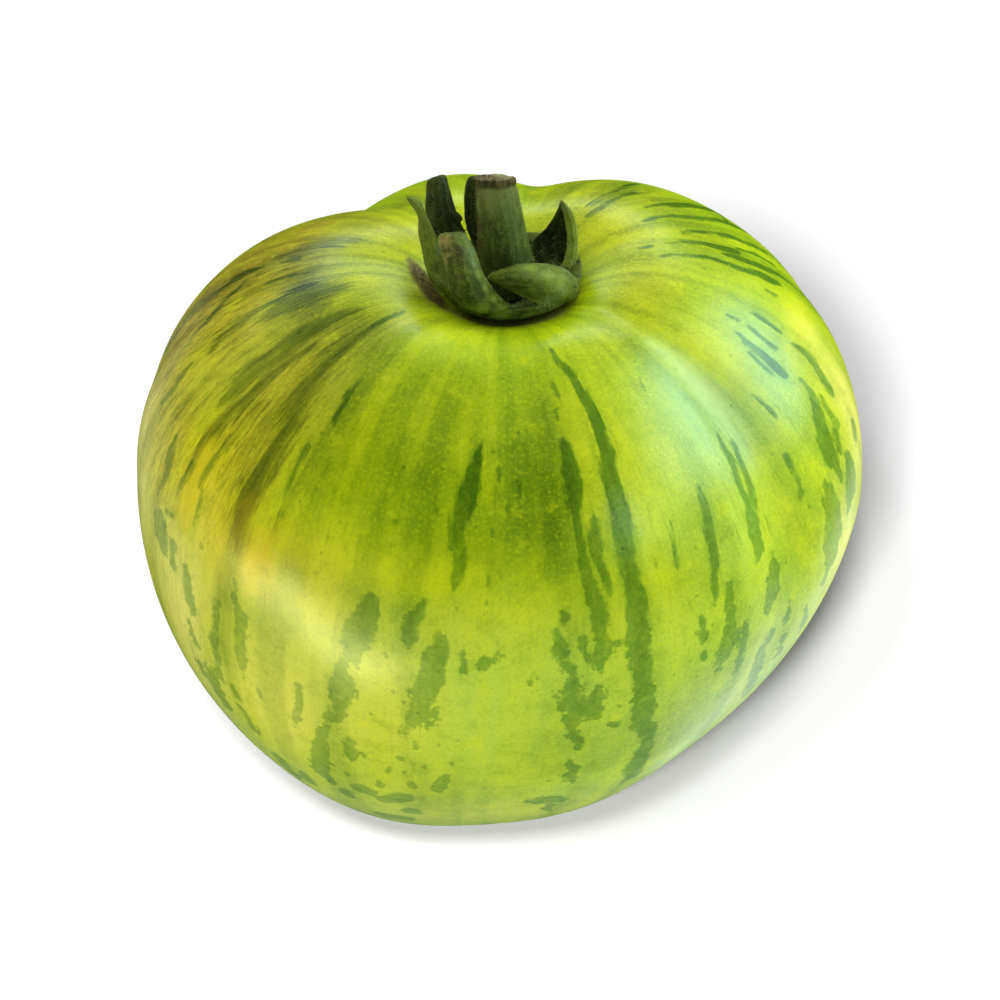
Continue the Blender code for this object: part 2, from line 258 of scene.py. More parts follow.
# The stripes as the photograph shows them. Each run is a list of pixels with the stripe's width
# there, also in pixels.
PX_MM = WAIST / MM / WAIST_RADIUS_PX
STEEPEST = 3.5  # how much wider than it looks a stripe can be where the skin turns away
STRIPES = [
    # Long front stripe
    [(552, 349, 3), (559, 360, 6), (571, 376, 8), (586, 400, 10), (594, 416, 11), (602, 437, 13),
     (608, 461, 15), (612, 483, 15), (618, 502, 17), (621, 520, 19), (623, 540, 20), (626, 560, 19),
     (631, 580, 18), (636, 600, 20), (637, 638, 24), (640, 658, 24), (643, 677, 22), (645, 696, 21),
     (643, 715, 27), (647, 731, 19), (647, 744, 15), (644, 753, 11), (635, 765, 16), (631, 778, 11)],
    # Beside it
    [(564, 441, 9), (568, 456, 14), (571, 472, 17), (573, 488, 17), (575, 504, 15), (576, 519, 8),
     (579, 539, 8), (582, 559, 10), (586, 575, 13), (592, 591, 17), (598, 604, 17), (600, 620, 14),
     (602, 640, 17), (600, 659, 17), (602, 671, 7)],
    [(595, 521, 8), (595, 539, 13), (597, 553, 11), (600, 564, 9), (606, 575, 8), (610, 587, 7),
     (611, 596, 5)],
    [(583, 638, 6), (587, 659, 7), (596, 664, 7)], [(617, 642, 5), (617, 646, 5)],
    # Ragged front patch
    [(564, 616, 9), (563, 623, 8)],
    [(556, 632, 9), (560, 646, 12), (562, 663, 10), (573, 669, 12), (575, 682, 14), (573, 700, 19),
     (571, 715, 18), (572, 730, 13), (577, 747, 9)],
    [(573, 707, 20), (588, 709, 22), (596, 700, 17), (598, 692, 12)], [(560, 696, 9), (562, 696, 9)],
    [(571, 761, 9), (572, 770, 15), (572, 782, 9)], [(540, 800, 7), (556, 800, 7)],
    [(548, 804, 12), (549, 811, 7)], [(613, 724, 8), (614, 725, 7)], [(619, 705, 6), (620, 706, 5)],
    # Left of the middle
    [(480, 444, 2), (476, 464, 11), (470, 489, 19), (465, 508, 19), (460, 523, 14), (457, 536, 12),
     (459, 552, 13), (458, 567, 13), (456, 580, 10), (453, 590, 3)],
    [(423, 601, 8), (420, 612, 14), (412, 623, 20), (409, 636, 16), (407, 646, 7)],
    [(441, 642, 17), (437, 657, 22), (432, 671, 28), (426, 686, 31), (422, 701, 29), (421, 715, 23),
     (409, 724, 12), (401, 733, 6)],
    [(432, 710, 11), (427, 728, 11)], [(464, 654, 5), (464, 674, 6)], [(481, 668, 10), (488, 661, 10)],
    [(502, 653, 7), (503, 655, 7)],
    # Left flank
    [(371, 598, 10), (368, 611, 23), (362, 627, 29), (355, 643, 29), (351, 656, 20)],
    [(344, 662, 11), (341, 675, 18), (343, 688, 23), (339, 700, 21), (338, 711, 15), (328, 719, 12),
     (323, 734, 13), (319, 747, 17), (320, 761, 18), (322, 772, 11), (333, 782, 4)],
    [(351, 740, 10), (350, 756, 11)], [(297, 684, 3), (299, 697, 8), (297, 710, 6), (294, 726, 2)],
    [(235, 585, 3), (235, 600, 6), (239, 614, 10), (241, 632, 10), (241, 649, 10), (241, 662, 9),
     (243, 675, 3)],
    [(211, 672, 7), (216, 686, 9), (226, 704, 6)], [(244, 711, 4), (253, 727, 5)],
    [(279, 758, 5), (292, 772, 7)], [(217, 598, 3), (216, 620, 7), (214, 642, 7), (219, 662, 3)],
    [(185, 567, 3), (188, 583, 8), (190, 601, 8), (193, 613, 3)],
    [(188, 622, 2), (191, 633, 3), (196, 643, 4)], [(173, 545, 5), (173, 564, 6)],
    [(166, 511, 5), (173, 516, 5)], [(160, 519, 8), (160, 526, 12), (162, 537, 11)],
    [(199, 662, 3), (203, 672, 3)], [(232, 683, 3), (237, 696, 4)], [(218, 662, 4), (222, 680, 4)],
    # Left shoulder
    [(300, 258, 3), (274, 265, 2), (253, 270, 3), (240, 276, 4), (219, 291, 4), (202, 303, 4),
     (188, 317, 4), (177, 333, 4), (166, 351, 3)],
    [(293, 275, 2), (277, 280, 3), (265, 284, 2)],
    [(246, 281, 2), (233, 293, 3), (219, 307, 3), (207, 321, 3), (190, 339, 2)],
    [(322, 247, 2), (332, 246, 3), (343, 247, 2)],
    [(317, 283, 2), (305, 287, 4), (295, 290, 4), (284, 296, 4), (274, 302, 4), (262, 308, 2)],
    [(405, 311, 2), (395, 315, 3), (382, 321, 4), (370, 327, 3)],
    [(334, 423, 2), (336, 416, 4), (344, 406, 5), (348, 395, 4), (360, 381, 2)],
    [(309, 446, 4), (299, 462, 4), (289, 485, 4), (284, 502, 3), (275, 526, 2)],
    [(228, 446, 4), (216, 458, 6), (203, 477, 6), (199, 484, 4)],
    [(203, 489, 3), (199, 507, 3), (192, 528, 2)],
    [(175, 439, 4), (171, 455, 7), (166, 475, 6), (158, 492, 4)],
    [(192, 466, 5), (182, 480, 4), (177, 493, 2)],
    [(191, 365, 2), (184, 374, 4), (176, 386, 5), (163, 402, 4)],
    # Right flank
    [(717, 434, 2), (723, 446, 5), (731, 460, 7), (737, 478, 6), (743, 493, 6), (749, 502, 9),
     (752, 518, 12), (756, 533, 11), (759, 545, 9), (757, 557, 5)],
    [(733, 443, 3), (740, 460, 4), (747, 478, 5), (752, 493, 6), (754, 504, 6)],
    [(698, 486, 2), (701, 494, 6), (706, 510, 9), (710, 533, 8), (714, 553, 8), (714, 571, 6),
     (714, 594, 8), (714, 607, 4)],
    [(670, 520, 2), (674, 541, 4), (677, 566, 5)], [(702, 620, 5), (704, 638, 7)],
    [(704, 654, 6), (704, 659, 6)],
    [(729, 584, 5), (729, 602, 9), (730, 622, 12), (731, 639, 18), (725, 651, 14), (719, 668, 6)],
    [(746, 625, 4), (745, 640, 8), (740, 658, 5), (735, 677, 3)],
    [(772, 555, 4), (773, 572, 11), (773, 588, 11), (770, 600, 8), (767, 613, 3)],
    [(790, 600, 5), (787, 618, 6)], [(806, 608, 4), (802, 626, 4)],
    [(771, 635, 5), (761, 652, 7), (754, 675, 8), (746, 693, 6)], [(783, 637, 4), (779, 654, 4)],
    [(786, 455, 5), (790, 463, 6), (794, 473, 4)], [(798, 480, 3), (800, 489, 6), (801, 499, 3)],
    [(752, 394, 2), (766, 406, 3), (772, 412, 5), (777, 418, 2)],
    # Far right flank
    [(801, 379, 3), (806, 385, 4), (813, 395, 6), (818, 411, 9), (821, 426, 12), (825, 441, 15),
     (830, 454, 15), (836, 464, 9), (841, 476, 5)],
    [(821, 397, 3), (828, 411, 4), (838, 425, 5)], [(835, 432, 4), (839, 447, 5)],
    [(825, 381, 4), (830, 390, 5)],
    [(825, 484, 5), (830, 496, 13), (833, 510, 15), (834, 527, 15), (833, 542, 15), (832, 557, 10)],
    [(822, 492, 4), (827, 510, 5)],
    [(848, 458, 6), (851, 472, 9), (851, 484, 10), (849, 496, 7), (848, 508, 4)],
    [(854, 427, 5), (855, 438, 4)], [(830, 564, 5), (825, 577, 4)],
    # Far right shoulder
    [(737, 333, 2), (744, 340, 3), (752, 347, 4), (761, 353, 5), (769, 360, 7), (780, 370, 8),
     (784, 374, 6)],
    [(750, 353, 2), (760, 363, 2), (773, 376, 2)],
    [(748, 326, 3), (759, 335, 3), (770, 345, 3), (778, 350, 2)], [(728, 315, 3), (738, 319, 3)],
    [(755, 314, 3), (769, 324, 4), (781, 332, 3)],
    [(794, 345, 3), (806, 353, 5), (814, 363, 6), (822, 376, 6), (829, 388, 6)],
    [(644, 208, 2), (658, 205, 3), (675, 205, 4), (689, 205, 4), (703, 208, 3), (718, 213, 2),
     (732, 220, 2), (745, 229, 2)],
    [(644, 221, 2), (658, 217, 2), (675, 216, 3), (690, 217, 3), (707, 219, 3), (720, 221, 3),
     (731, 225, 2), (744, 231, 2)],
    [(682, 232, 2), (700, 232, 2), (713, 233, 2), (721, 235, 4), (731, 237, 4), (744, 242, 3),
     (756, 247, 2), (767, 253, 2)],
    [(667, 243, 2), (682, 242, 2), (696, 243, 3), (710, 245, 4), (723, 248, 5), (736, 252, 4)],
    [(738, 249, 2), (759, 256, 2), (774, 265, 2)],
    [(724, 254, 2), (738, 258, 4), (752, 263, 4), (766, 269, 4), (780, 276, 3), (791, 284, 2),
     (801, 293, 2), (811, 302, 2)],
    [(661, 256, 2), (676, 254, 2), (693, 256, 3), (710, 258, 3), (724, 263, 3), (733, 266, 4),
     (744, 270, 4), (756, 273, 4), (766, 278, 6), (777, 283, 4)],
    [(641, 248, 2), (651, 246, 2)], [(766, 290, 2), (776, 296, 2)],
    [(586, 207, 2), (600, 198, 2), (617, 190, 2), (637, 184, 2)],
    [(586, 217, 2), (600, 208, 2), (617, 198, 2), (637, 192, 2)],
]
# Small flecks between the stripes, in the same form
FLECKS = [
    [(508, 503, 4), (508, 526, 3)], [(519, 477, 2), (520, 496, 4), (521, 511, 2)],
    [(492, 528, 3), (492, 539, 3)], [(499, 467, 2), (499, 481, 3)], [(493, 440, 2), (493, 452, 2)],
    [(508, 403, 2), (508, 416, 2)], [(555, 409, 3), (558, 421, 3)], [(488, 572, 3), (488, 588, 3)],
    [(487, 601, 3), (484, 615, 3)], [(450, 547, 4), (451, 549, 4)], [(394, 522, 4), (401, 522, 4)],
    [(437, 511, 4), (438, 512, 4)], [(218, 488, 4), (218, 492, 4)], [(343, 494, 3), (341, 500, 3)],
    [(386, 653, 5), (387, 657, 5)], [(377, 681, 5), (378, 683, 4)], [(357, 667, 5), (359, 668, 5)],
    [(415, 742, 6), (415, 748, 5)], [(399, 757, 5), (400, 759, 5)], [(389, 767, 8), (388, 772, 8)],
    [(411, 783, 9), (412, 787, 9)], [(446, 776, 9), (440, 786, 17), (437, 791, 10)],
    [(384, 800, 8), (393, 799, 10), (403, 797, 12)], [(384, 815, 7), (402, 818, 8)],
    [(411, 811, 6), (413, 811, 6)], [(362, 789, 8), (368, 791, 7)], [(345, 791, 9), (350, 796, 6)],
    [(379, 781, 6), (379, 786, 6)], [(382, 783, 5), (382, 786, 5)], [(529, 682, 5), (530, 683, 5)],
    [(548, 780, 3), (549, 781, 3)], [(303, 773, 6), (308, 780, 7)], [(404, 700, 5), (404, 704, 5)],
    [(371, 712, 4), (372, 716, 4)], [(392, 688, 4), (393, 692, 4)], [(330, 690, 4), (330, 696, 4)],
    [(357, 692, 6), (357, 700, 5)], [(364, 754, 5), (364, 758, 5)], [(346, 772, 4), (347, 776, 4)],
    [(404, 772, 4), (405, 775, 4)], [(424, 764, 5), (424, 768, 4)], [(452, 762, 4), (453, 765, 4)],
    [(285, 640, 3), (286, 643, 3)], [(258, 690, 4), (262, 700, 4)], [(340, 521, 4), (341, 524, 4)],
    [(201, 546, 3), (202, 549, 3)], [(655, 560, 3), (657, 572, 3)], [(690, 600, 3), (690, 606, 3)],
    [(640, 380, 3), (646, 392, 2)], [(545, 365, 2), (556, 392, 3), (560, 398, 2)],
]
# Softer bands, in the same form: olive ones on the left shoulder, green ones in front, gold and brown
# ones where the skin ripens on the left, a painted highlight on the right-hand crest, the corky scar
# beside the calyx with its dark end, and the line round the calyx
BANDS = {
    "olive_band": [
        [(358, 310, 6), (339, 317, 10), (322, 326, 14), (305, 334, 18), (291, 346, 22), (277, 358, 22),
         (260, 367, 20), (246, 379, 18), (233, 392, 14), (220, 404, 8)],
        [(312, 346, 6), (291, 357, 10), (274, 370, 12), (260, 385, 13), (246, 402, 13), (234, 418, 8)],
        [(370, 327, 6), (353, 338, 10), (338, 352, 14), (322, 370, 16), (310, 388, 18), (300, 404, 18),
         (292, 422, 18), (284, 438, 18), (275, 452, 20), (264, 470, 24), (252, 490, 24), (246, 508, 20),
         (240, 528, 14), (236, 546, 10)],
        [(345, 288, 8), (325, 290, 16), (305, 294, 18), (285, 303, 14), (268, 316, 8)],
        [(262, 308, 5), (246, 317, 6), (233, 326, 5), (219, 339, 6), (211, 351, 5)],
        [(262, 404, 5), (250, 417, 6), (238, 431, 6), (229, 444, 7)],
        [(240, 398, 8), (222, 418, 9), (210, 431, 12), (200, 447, 8), (193, 464, 8)],
        [(360, 240, 6), (330, 242, 9), (305, 248, 8), (280, 256, 7)],
    ],
    "green_band": [
        [(526, 440, 14), (532, 470, 24), (536, 500, 30), (540, 530, 32), (545, 560, 28)],
        [(540, 405, 14), (545, 430, 18), (552, 460, 16)],
        [(219, 585, 10), (218, 605, 14), (217, 637, 14), (217, 655, 11)],
        [(428, 535, 10), (428, 555, 10)], [(402, 440, 10), (398, 470, 14), (402, 500, 8)],
        [(260, 620, 6), (260, 638, 6)],
    ],
    "gold_band": [
        [(262, 530, 5), (256, 546, 6), (251, 566, 7), (248, 583, 8)],
        [(209, 452, 8), (196, 477, 12), (189, 501, 15), (184, 522, 12)],
    ],
    "brown_band": [
        [(250, 505, 14), (243, 526, 15), (237, 548, 11)], [(272, 531, 6), (266, 545, 7), (261, 558, 5)],
    ],
    "painted_crest_highlight": [
        [(652, 345, 6), (680, 364, 14), (702, 387, 22), (720, 411, 26), (734, 434, 22), (742, 454, 10)],
    ],
    "scar": [
        [(411, 261, 7), (416, 269, 13), (422, 279, 15), (428, 288, 15), (435, 298, 13), (442, 306, 4)],
    ],
    "scar_dark_end": [
        [(426, 286, 13), (433, 296, 13), (440, 304, 8)],
    ],
    "ring": [
        [(446, 308, 4), (462, 317, 3), (482, 323, 3), (505, 326, 3), (535, 323, 3), (558, 315, 3),
         (573, 303, 3), (580, 289, 3), (580, 272, 3)],
    ],
}
BAND_SOFTNESS_MM = 0.45
FIELD_REACH_MM = 3.0


def nearness(runs):
    """How far inside the runs each point of the skin lies, in millimetres, and less than 0 outside."""
    best = np.full(len(places), -FIELD_REACH_MM)
    for run in runs:
        for (start, start_half), (end, end_half) in zip(run, run[1:]):
            margin = (FIELD_REACH_MM + max(start_half, end_half)) * MM
            step = end - start
            reach = margin + np.linalg.norm(step) / 2
            near = np.nonzero(np.abs(places - (start + end) / 2).max(axis=1) < reach)[0]
            offset = places[near] - start
            share = np.clip(offset @ step / max(step @ step, 1e-12), 0, 1)
            distance = np.linalg.norm(offset - share[:, None] * step, axis=1) / MM
            inside = start_half + (end_half - start_half) * share - distance
            best[near] = np.maximum(best[near], inside)
    return best


def unit(ways):
    return ways / np.linalg.norm(ways, axis=1)[:, None]


def on_skin(run):
    """A run of pixels as places on the skin with half widths in millimetres, measured on the skin."""
    spots = np.array(run, dtype=float)
    way = unit(np.gradient(spots[:, :2], axis=0))
    aside = np.stack([-way[:, 1], way[:, 0]], axis=1) * spots[:, 2:] / 2
    middle, one, other = (
        np.array([seen_at(*spot) for spot in spots[:, :2] + shift]) for shift in (0, aside, -aside)
    )
    forward = unit(np.gradient(middle, axis=0))
    span = one - other
    span = np.linalg.norm(span - forward * (span * forward).sum(axis=1)[:, None], axis=1) / MM
    return list(zip(middle, np.minimum(span, spots[:, 2] * PX_MM * STEEPEST) / 2))


# Where the photograph doesn't reach, stripes start thin under the shoulder and break up lower down.
# Angles down from the crown and lengths along the meridian are in degrees.
UNSEEN_MERIDIANS = 110
UNSEEN_START = (28, 62)
UNSEEN_END = (85, 150)
UNSEEN_PIECE = (4, 20)
UNSEEN_BREAK = (1.5, 7)
UNSEEN_WANDER = 2
UNSEEN_WAVE = 9
UNSEEN_WIDTH_MM = (0.25, 0.95)
UNSEEN_THIN_ABOVE = 60
UNSEEN_SWELL = np.array([0.3, 0.9, 1, 0.8, 0.3])  # share of the width along each piece


def unseen_stripes():
    """Runs of places and half widths for the stripes on the sides that the photograph leaves out."""
    chance = np.random.default_rng(7)
    runs = []
    for meridian in range(UNSEEN_MERIDIANS):
        longitude = 360 * (meridian + chance.uniform(-0.4, 0.4)) / UNSEEN_MERIDIANS
        low = chance.uniform(*UNSEEN_START)
        end = chance.uniform(*UNSEEN_END)
        while low < end:
            high = low + chance.uniform(*UNSEEN_PIECE)
            width = chance.uniform(*UNSEEN_WIDTH_MM) * (1 if low > UNSEEN_THIN_ABOVE else 0.5)
            downs = np.linspace(low, high, len(UNSEEN_SWELL))
            wander = chance.uniform(-UNSEEN_WANDER, UNSEEN_WANDER) * np.sin(downs / UNSEEN_WAVE + meridian)
            run = []
            for place, half in zip(skin(downs, longitude + wander), width / 2 * UNSEEN_SWELL):
                nearest = fruit_tree.find_nearest(Vector(place))
                if nearest[1].dot(camera.location - nearest[0]) < 0:
                    run.append((place, half))
            runs.append(run)
            low = high + chance.uniform(*UNSEEN_BREAK)
    return runs


paint(fruit_mesh, "stripe", nearness([on_skin(run) for run in STRIPES] + unseen_stripes()))
paint(fruit_mesh, "fleck", nearness([on_skin(run) for run in FLECKS]))
for name, runs in BANDS.items():
    inside = nearness([on_skin(run) for run in runs])
    paint(fruit_mesh, name, 1 / (1 + np.exp(-inside / BAND_SOFTNESS_MM)))
MERIDIAN_STRETCH = 9.0  # how much longer than wide the skin's grain is
paint(fruit_mesh, "grain", np.stack([
    WAIST / MM * np.cos(np.radians(turn)), WAIST / MM * np.sin(np.radians(turn)),
    along_mm / MERIDIAN_STRETCH], axis=1))
paint(fruit_mesh, "down", down)


class Shade:
    """A material's socket, so that sums on it are written as Python expressions."""

    def __init__(self, tree, socket=None):
        self.tree = tree
        self.socket = socket

    def node(self, kind, settings=None, inputs=None, output=0):
        """Adds a node: its settings first, then the values or links of its sockets."""
        made = self.tree.nodes.new("ShaderNode" + kind)
        for key, value in (settings or {}).items():
            setattr(made, key, value)
        for key, value in (inputs or {}).items():
            if isinstance(value, Shade):
                self.tree.links.new(value.socket, made.inputs[key])
            else:
                made.inputs[key].default_value = value
        return Shade(self.tree, made.outputs[output])

    def maths(self, operation, *values):
        return self.node("Math", {"operation": operation}, dict(enumerate(values)))

    def __add__(self, other):
        return self.maths("ADD", self, other)

    def __sub__(self, other):
        return self.maths("SUBTRACT", self, other)

    def __rsub__(self, other):
        return self.maths("SUBTRACT", other, self)

    def __mul__(self, other):
        return self.maths("MULTIPLY", self, other)

    __radd__ = __add__
    __rmul__ = __mul__

    def step(self, low, high):
        """0 below low and 1 above high, with a smooth rise between them."""
        settings = {"interpolation_type": "SMOOTHSTEP"}
        return self.node("MapRange", settings, {0: self, 1: low, 2: high, 3: 0.0, 4: 1.0})

    def mix(self, one, other, blend="MIX"):
        """One colour where this is 0 and the other, or both blended, where it is 1."""
        settings = {"data_type": "RGBA", "clamp_factor": True, "blend_type": blend}
        return self.node("Mix", settings, {0: self, 6: one, 7: other}, output=2)

    def stain(self, colour, pigment):
        """A colour with a pigment soaked into it where this is 1."""
        return self.mix(colour, pigment, "MULTIPLY")

    def place_mm(self):
        """The place on the piece, in millimetres."""
        place = self.node("TexCoord", output=3)
        return self.node("VectorMath", {"operation": "SCALE"}, {0: place, 3: 1 / MM})

    def read(self, name, output=2):
        """The value that the mesh keeps under a name."""
        return self.node("Attribute", {"attribute_name": name}, output=output)

    def noise(self, place, scale, detail=2.0, roughness=0.5, distortion=0.0):
        inputs = {"Vector": place, "Scale": scale, "Detail": detail, "Roughness": roughness,
                  "Distortion": distortion}
        return self.node("TexNoise", {"noise_dimensions": "3D"}, inputs)

    def cells(self, place, scale, output=0):
        """Scattered cells: how far off the middle of the nearest is, or its own colour or its place."""
        inputs = {"Vector": place, "Scale": scale, "Randomness": 1.0}
        return self.node("TexVoronoi", {"feature": "F1"}, inputs, output)

    def lot(self, place, scale):
        """A chance number for each of those cells."""
        return self.node("SeparateColor", {}, {0: self.cells(place, scale, output=1)})

    def bump(self, strength, depth):
        """The slopes of a surface that this raises."""
        return self.node("Bump", {}, {"Strength": strength, "Distance": depth, "Height": self})

    def feed(self, shader, key):
        """Links this to a socket of the Principled shader."""
        self.tree.links.new(self.socket, shader.inputs[key])


def finish_of(name, **values):
    """A new material, the start of its shader maths, and its shader with the even values set."""
    look = bpy.data.materials.new(name)
    look.use_nodes = True
    shader = look.node_tree.nodes["Principled BSDF"]
    for key, value in values.items():
        shader.inputs[key.replace("_", " ")].default_value = value
    return look, Shade(look.node_tree), shader


def srgb(red, green, blue):
    """A colour given as the 0 to 255 values of a screen."""
    def linear(value):
        value = value / 255
        return value / 12.92 if value <= 0.04045 else ((value + 0.055) / 1.055) ** 2.4
    return linear(red), linear(green), linear(blue), 1.0


# Broad tints of the skin, in the order in which they are laid on. Each has its colour, then its spots:
# the pixel at the middle, the reach across and along the meridian in millimetres, and the strength.
TINTS = {
    # Darker green where the skin faces the viewer, partly its own colour and partly painted shade
    "front": (srgb(145, 171, 1), [
        (440, 430, 12, 15, 1.0), (370, 440, 8, 14, 0.9), (540, 440, 7, 12, 0.8), (440, 540, 10, 5, 0.7),
    ]),
    # Paler, bluer skin low down and on the right lobe; on the right lobe and at the dimple's near rim it
    # is a painted highlight
    "low": (srgb(189, 221, 72), [
        (500, 700, 16, 10, 0.9), (500, 640, 10, 6, 0.8), (660, 640, 8, 10, 0.7), (660, 520, 6, 8, 0.9),
        (690, 460, 6, 9, 0.8), (745, 530, 5, 8, 0.8), (440, 340, 5, 3, 0.8), (620, 780, 12, 5, 0.9),
    ]),
    # Paler, bluer skin low on the right and along the bottom, partly a painted reflection of the pale
    # floor
    "blue": (srgb(144, 180, 76), [
        (690, 720, 9, 6, 0.9), (660, 745, 9, 4, 0.4), (760, 650, 5, 8, 0.7), (500, 800, 14, 4, 0.3),
        (620, 785, 12, 4, 0.7),
    ]),
    # Darker, bluer green under the highlight on the right-hand crest, with part of that highlight's blue
    # painted in
    "cool": (srgb(128, 166, 66), [
        (706, 402, 6.5, 10, 0.85), (738, 440, 3, 5, 0.7), (662, 352, 5, 4, 0.5), (764, 360, 5, 6, 0.8),
    ]),
    # Deeper green in front and in the valley right of the dimple, partly the skin's own colour and partly
    # painted shade
    "deep": (srgb(106, 138, 1), [
        (540, 505, 5, 10, 0.9), (400, 462, 6, 8, 0.3), (428, 396, 6, 5, 0.35), (550, 425, 3, 7, 0.5),
        (354, 402, 4, 9, 0.35), (590, 590, 5, 8, 0.3), (800, 520, 3, 6, 0.3), (700, 565, 4, 6, 0.35),
        (560, 745, 5, 6, 0.3), (622, 336, 7, 3, 0.6), (645, 300, 6, 3, 0.45),
    ]),
    "yellow": (srgb(170, 178, 0), [
        (420, 235, 8, 6, 0.8), (600, 225, 9, 6, 0.9), (560, 300, 6, 3, 0.8), (640, 285, 8, 5, 0.7),
        (480, 245, 7, 5, 0.8), (380, 228, 4, 3, 0.8), (400, 320, 3, 3, 0.4),
    ]),
    "olive": (srgb(194, 182, 36), [
        (200, 340, 12, 16, 1.0), (170, 430, 8, 16, 1.0), (235, 450, 8, 12, 0.9), (280, 380, 8, 12, 0.8),
        (250, 300, 8, 9, 0.9),
    ]),
    "straw": (srgb(226, 230, 56), [
        (300, 660, 9, 8, 0.65), (212, 384, 4, 5, 0.4), (270, 700, 8, 8, 1.0), (370, 720, 8, 8, 0.7),
        (320, 610, 6, 4, 0.9), (210, 590, 6, 8, 0.6), (400, 780, 9, 5, 0.4), (440, 640, 6, 5, 0.3),
    ]),
    "zest": (srgb(204, 219, 8), [
        (390, 570, 9, 4, 1.0), (315, 550, 9, 5, 0.9), (600, 345, 5, 3, 0.2), (700, 350, 4, 6, 0.7),
        (800, 318, 4, 3, 0.8), (500, 615, 9, 4, 0.5), (440, 330, 6, 3, 0.5), (620, 470, 4, 8, 0.5),
        (655, 600, 4, 9, 0.4),
    ]),
    "gold": (srgb(238, 212, 6), [
        (255, 560, 3, 4, 1.0), (215, 535, 4, 7, 0.8), (195, 480, 5, 8, 0.75), (290, 555, 6, 4, 0.4),
    ]),
    # Painted sheen: pale rims where the skin reflects its white surroundings, and a painted highlight high
    # on the right
    "painted_rim_sheen": (srgb(242, 240, 118), [
        (178, 600, 6, 10, 1.0), (195, 655, 6, 7, 0.7), (144, 500, 4, 12, 0.6), (148, 408, 4, 6, 0.8),
        (812, 336, 3, 5, 0.4), (855, 420, 5, 12, 0.9), (430, 815, 22, 5, 0.3), (280, 755, 9, 4, 0.15),
        (846, 540, 5, 9, 0.7), (275, 705, 7, 6, 0.4),
    ]),
    # Dark olive patches; the one at the lower side of the scar is painted shade
    "moss": (srgb(108, 120, 28), [
        (305, 296, 8, 3.5, 1.0), (330, 243, 7, 3, 0.2), (418, 298, 1.5, 2.5, 0.7),
        (350, 322, 5, 4, 0.6), (700, 235, 8, 4, 0.4), (240, 275, 6, 5, 0.4), (640, 192, 9, 4, 0.6),
        (590, 190, 7, 4, 0.6), (410, 200, 7, 4, 0.5),
    ]),
    "tan": (srgb(168, 144, 44), [
        (350, 222, 6, 4, 0.35), (300, 235, 7, 5, 0.85), (250, 258, 7, 6, 0.9), (210, 292, 6, 7, 0.9),
        (185, 328, 6, 8, 0.8), (165, 365, 5, 8, 0.6), (230, 330, 4, 4, 0.3),
    ]),
}


def tint(spots):
    """The strongest of some broad spots at each point of the skin."""
    strongest = np.zeros(len(places))
    for x, y, across, along, strength in spots:
        middle = seen_at(x, y)
        nearest = np.argmin(np.linalg.norm(places - middle, axis=1))
        aside = np.radians(turn_between(turn, turn[nearest])) * rounds_mm[nearest]
        above = along_mm - along_mm[nearest]
        spot = strength * np.exp(-((aside / across) ** 2) - (above / along) ** 2)
        strongest = np.maximum(strongest, spot)
    return strongest


for name, (tone, spots) in TINTS.items():
    paint(fruit_mesh, name, tint(spots))

LIME = srgb(158, 190, 15)
SOFT_PIGMENT = (0.6, 0.7, 0.5, 1)
OLIVE_PIGMENT = (0.30, 0.38, 0.22, 1)
GREEN_PIGMENT = (0.42, 0.58, 0.52, 1)
DOTS_PER_MM = 1.7
SPECKS_PER_MM = 0.55
BLOCKS_PER_MM = 2.0

skin_look, s, shader = finish_of("tomato_skin", IOR=1.45, Specular_IOR_Level=0.25)
place_mm = s.place_mm()
grain = s.read("grain", output=1)
upper = s.read("down").step(115, 45)
low_down = s.read("down").step(60, 92)
colour = LIME
for name, (tone, spots) in TINTS.items():
    colour = s.read(name).mix(colour, tone)

# Mottling between the stripes, in swaths along the meridians and in patches, then pale dots under
# the skin that crowd on the shoulders, fine grains, and a painted highlight on the right-hand crest
even = 1 - s.read("cool") * 0.85
swaths = s.noise(grain, 0.3, 1.0, 0.4)
colour = (swaths.step(0.5, 0.68) * 0.6).stain(colour, SOFT_PIGMENT)
colour = (swaths.step(0.5, 0.34) * even * 0.3).mix(colour, srgb(200, 216, 4))
patches = s.noise(place_mm, 0.4, 5.0, 0.62)
colour = (patches.step(0.46, 0.7) * 0.5).stain(colour, SOFT_PIGMENT)
colour = (patches.step(0.46, 0.26) * even * 0.4).mix(colour, srgb(210, 222, 6))
dots = s.cells(place_mm, DOTS_PER_MM).step(0.38, 0.05)
crowding = s.lot(place_mm, DOTS_PER_MM).step(0.4, 1.0) * (upper * 0.28 + 0.05)
colour = (dots * crowding * (even - s.read("deep") * 0.75)).mix(colour, srgb(220, 226, 20))
grains = s.noise(place_mm, 3.0, 2.0, 0.6)
colour = (grains.step(0.5, 0.7) * even * 0.22).mix(colour, srgb(222, 230, 4))
colour = (grains.step(0.5, 0.3) * 0.3).stain(colour, SOFT_PIGMENT)
# Painted highlight: a pale blue-green band along the right-hand crest
colour = (s.read("painted_crest_highlight") * 0.4).mix(colour, srgb(172, 212, 138))

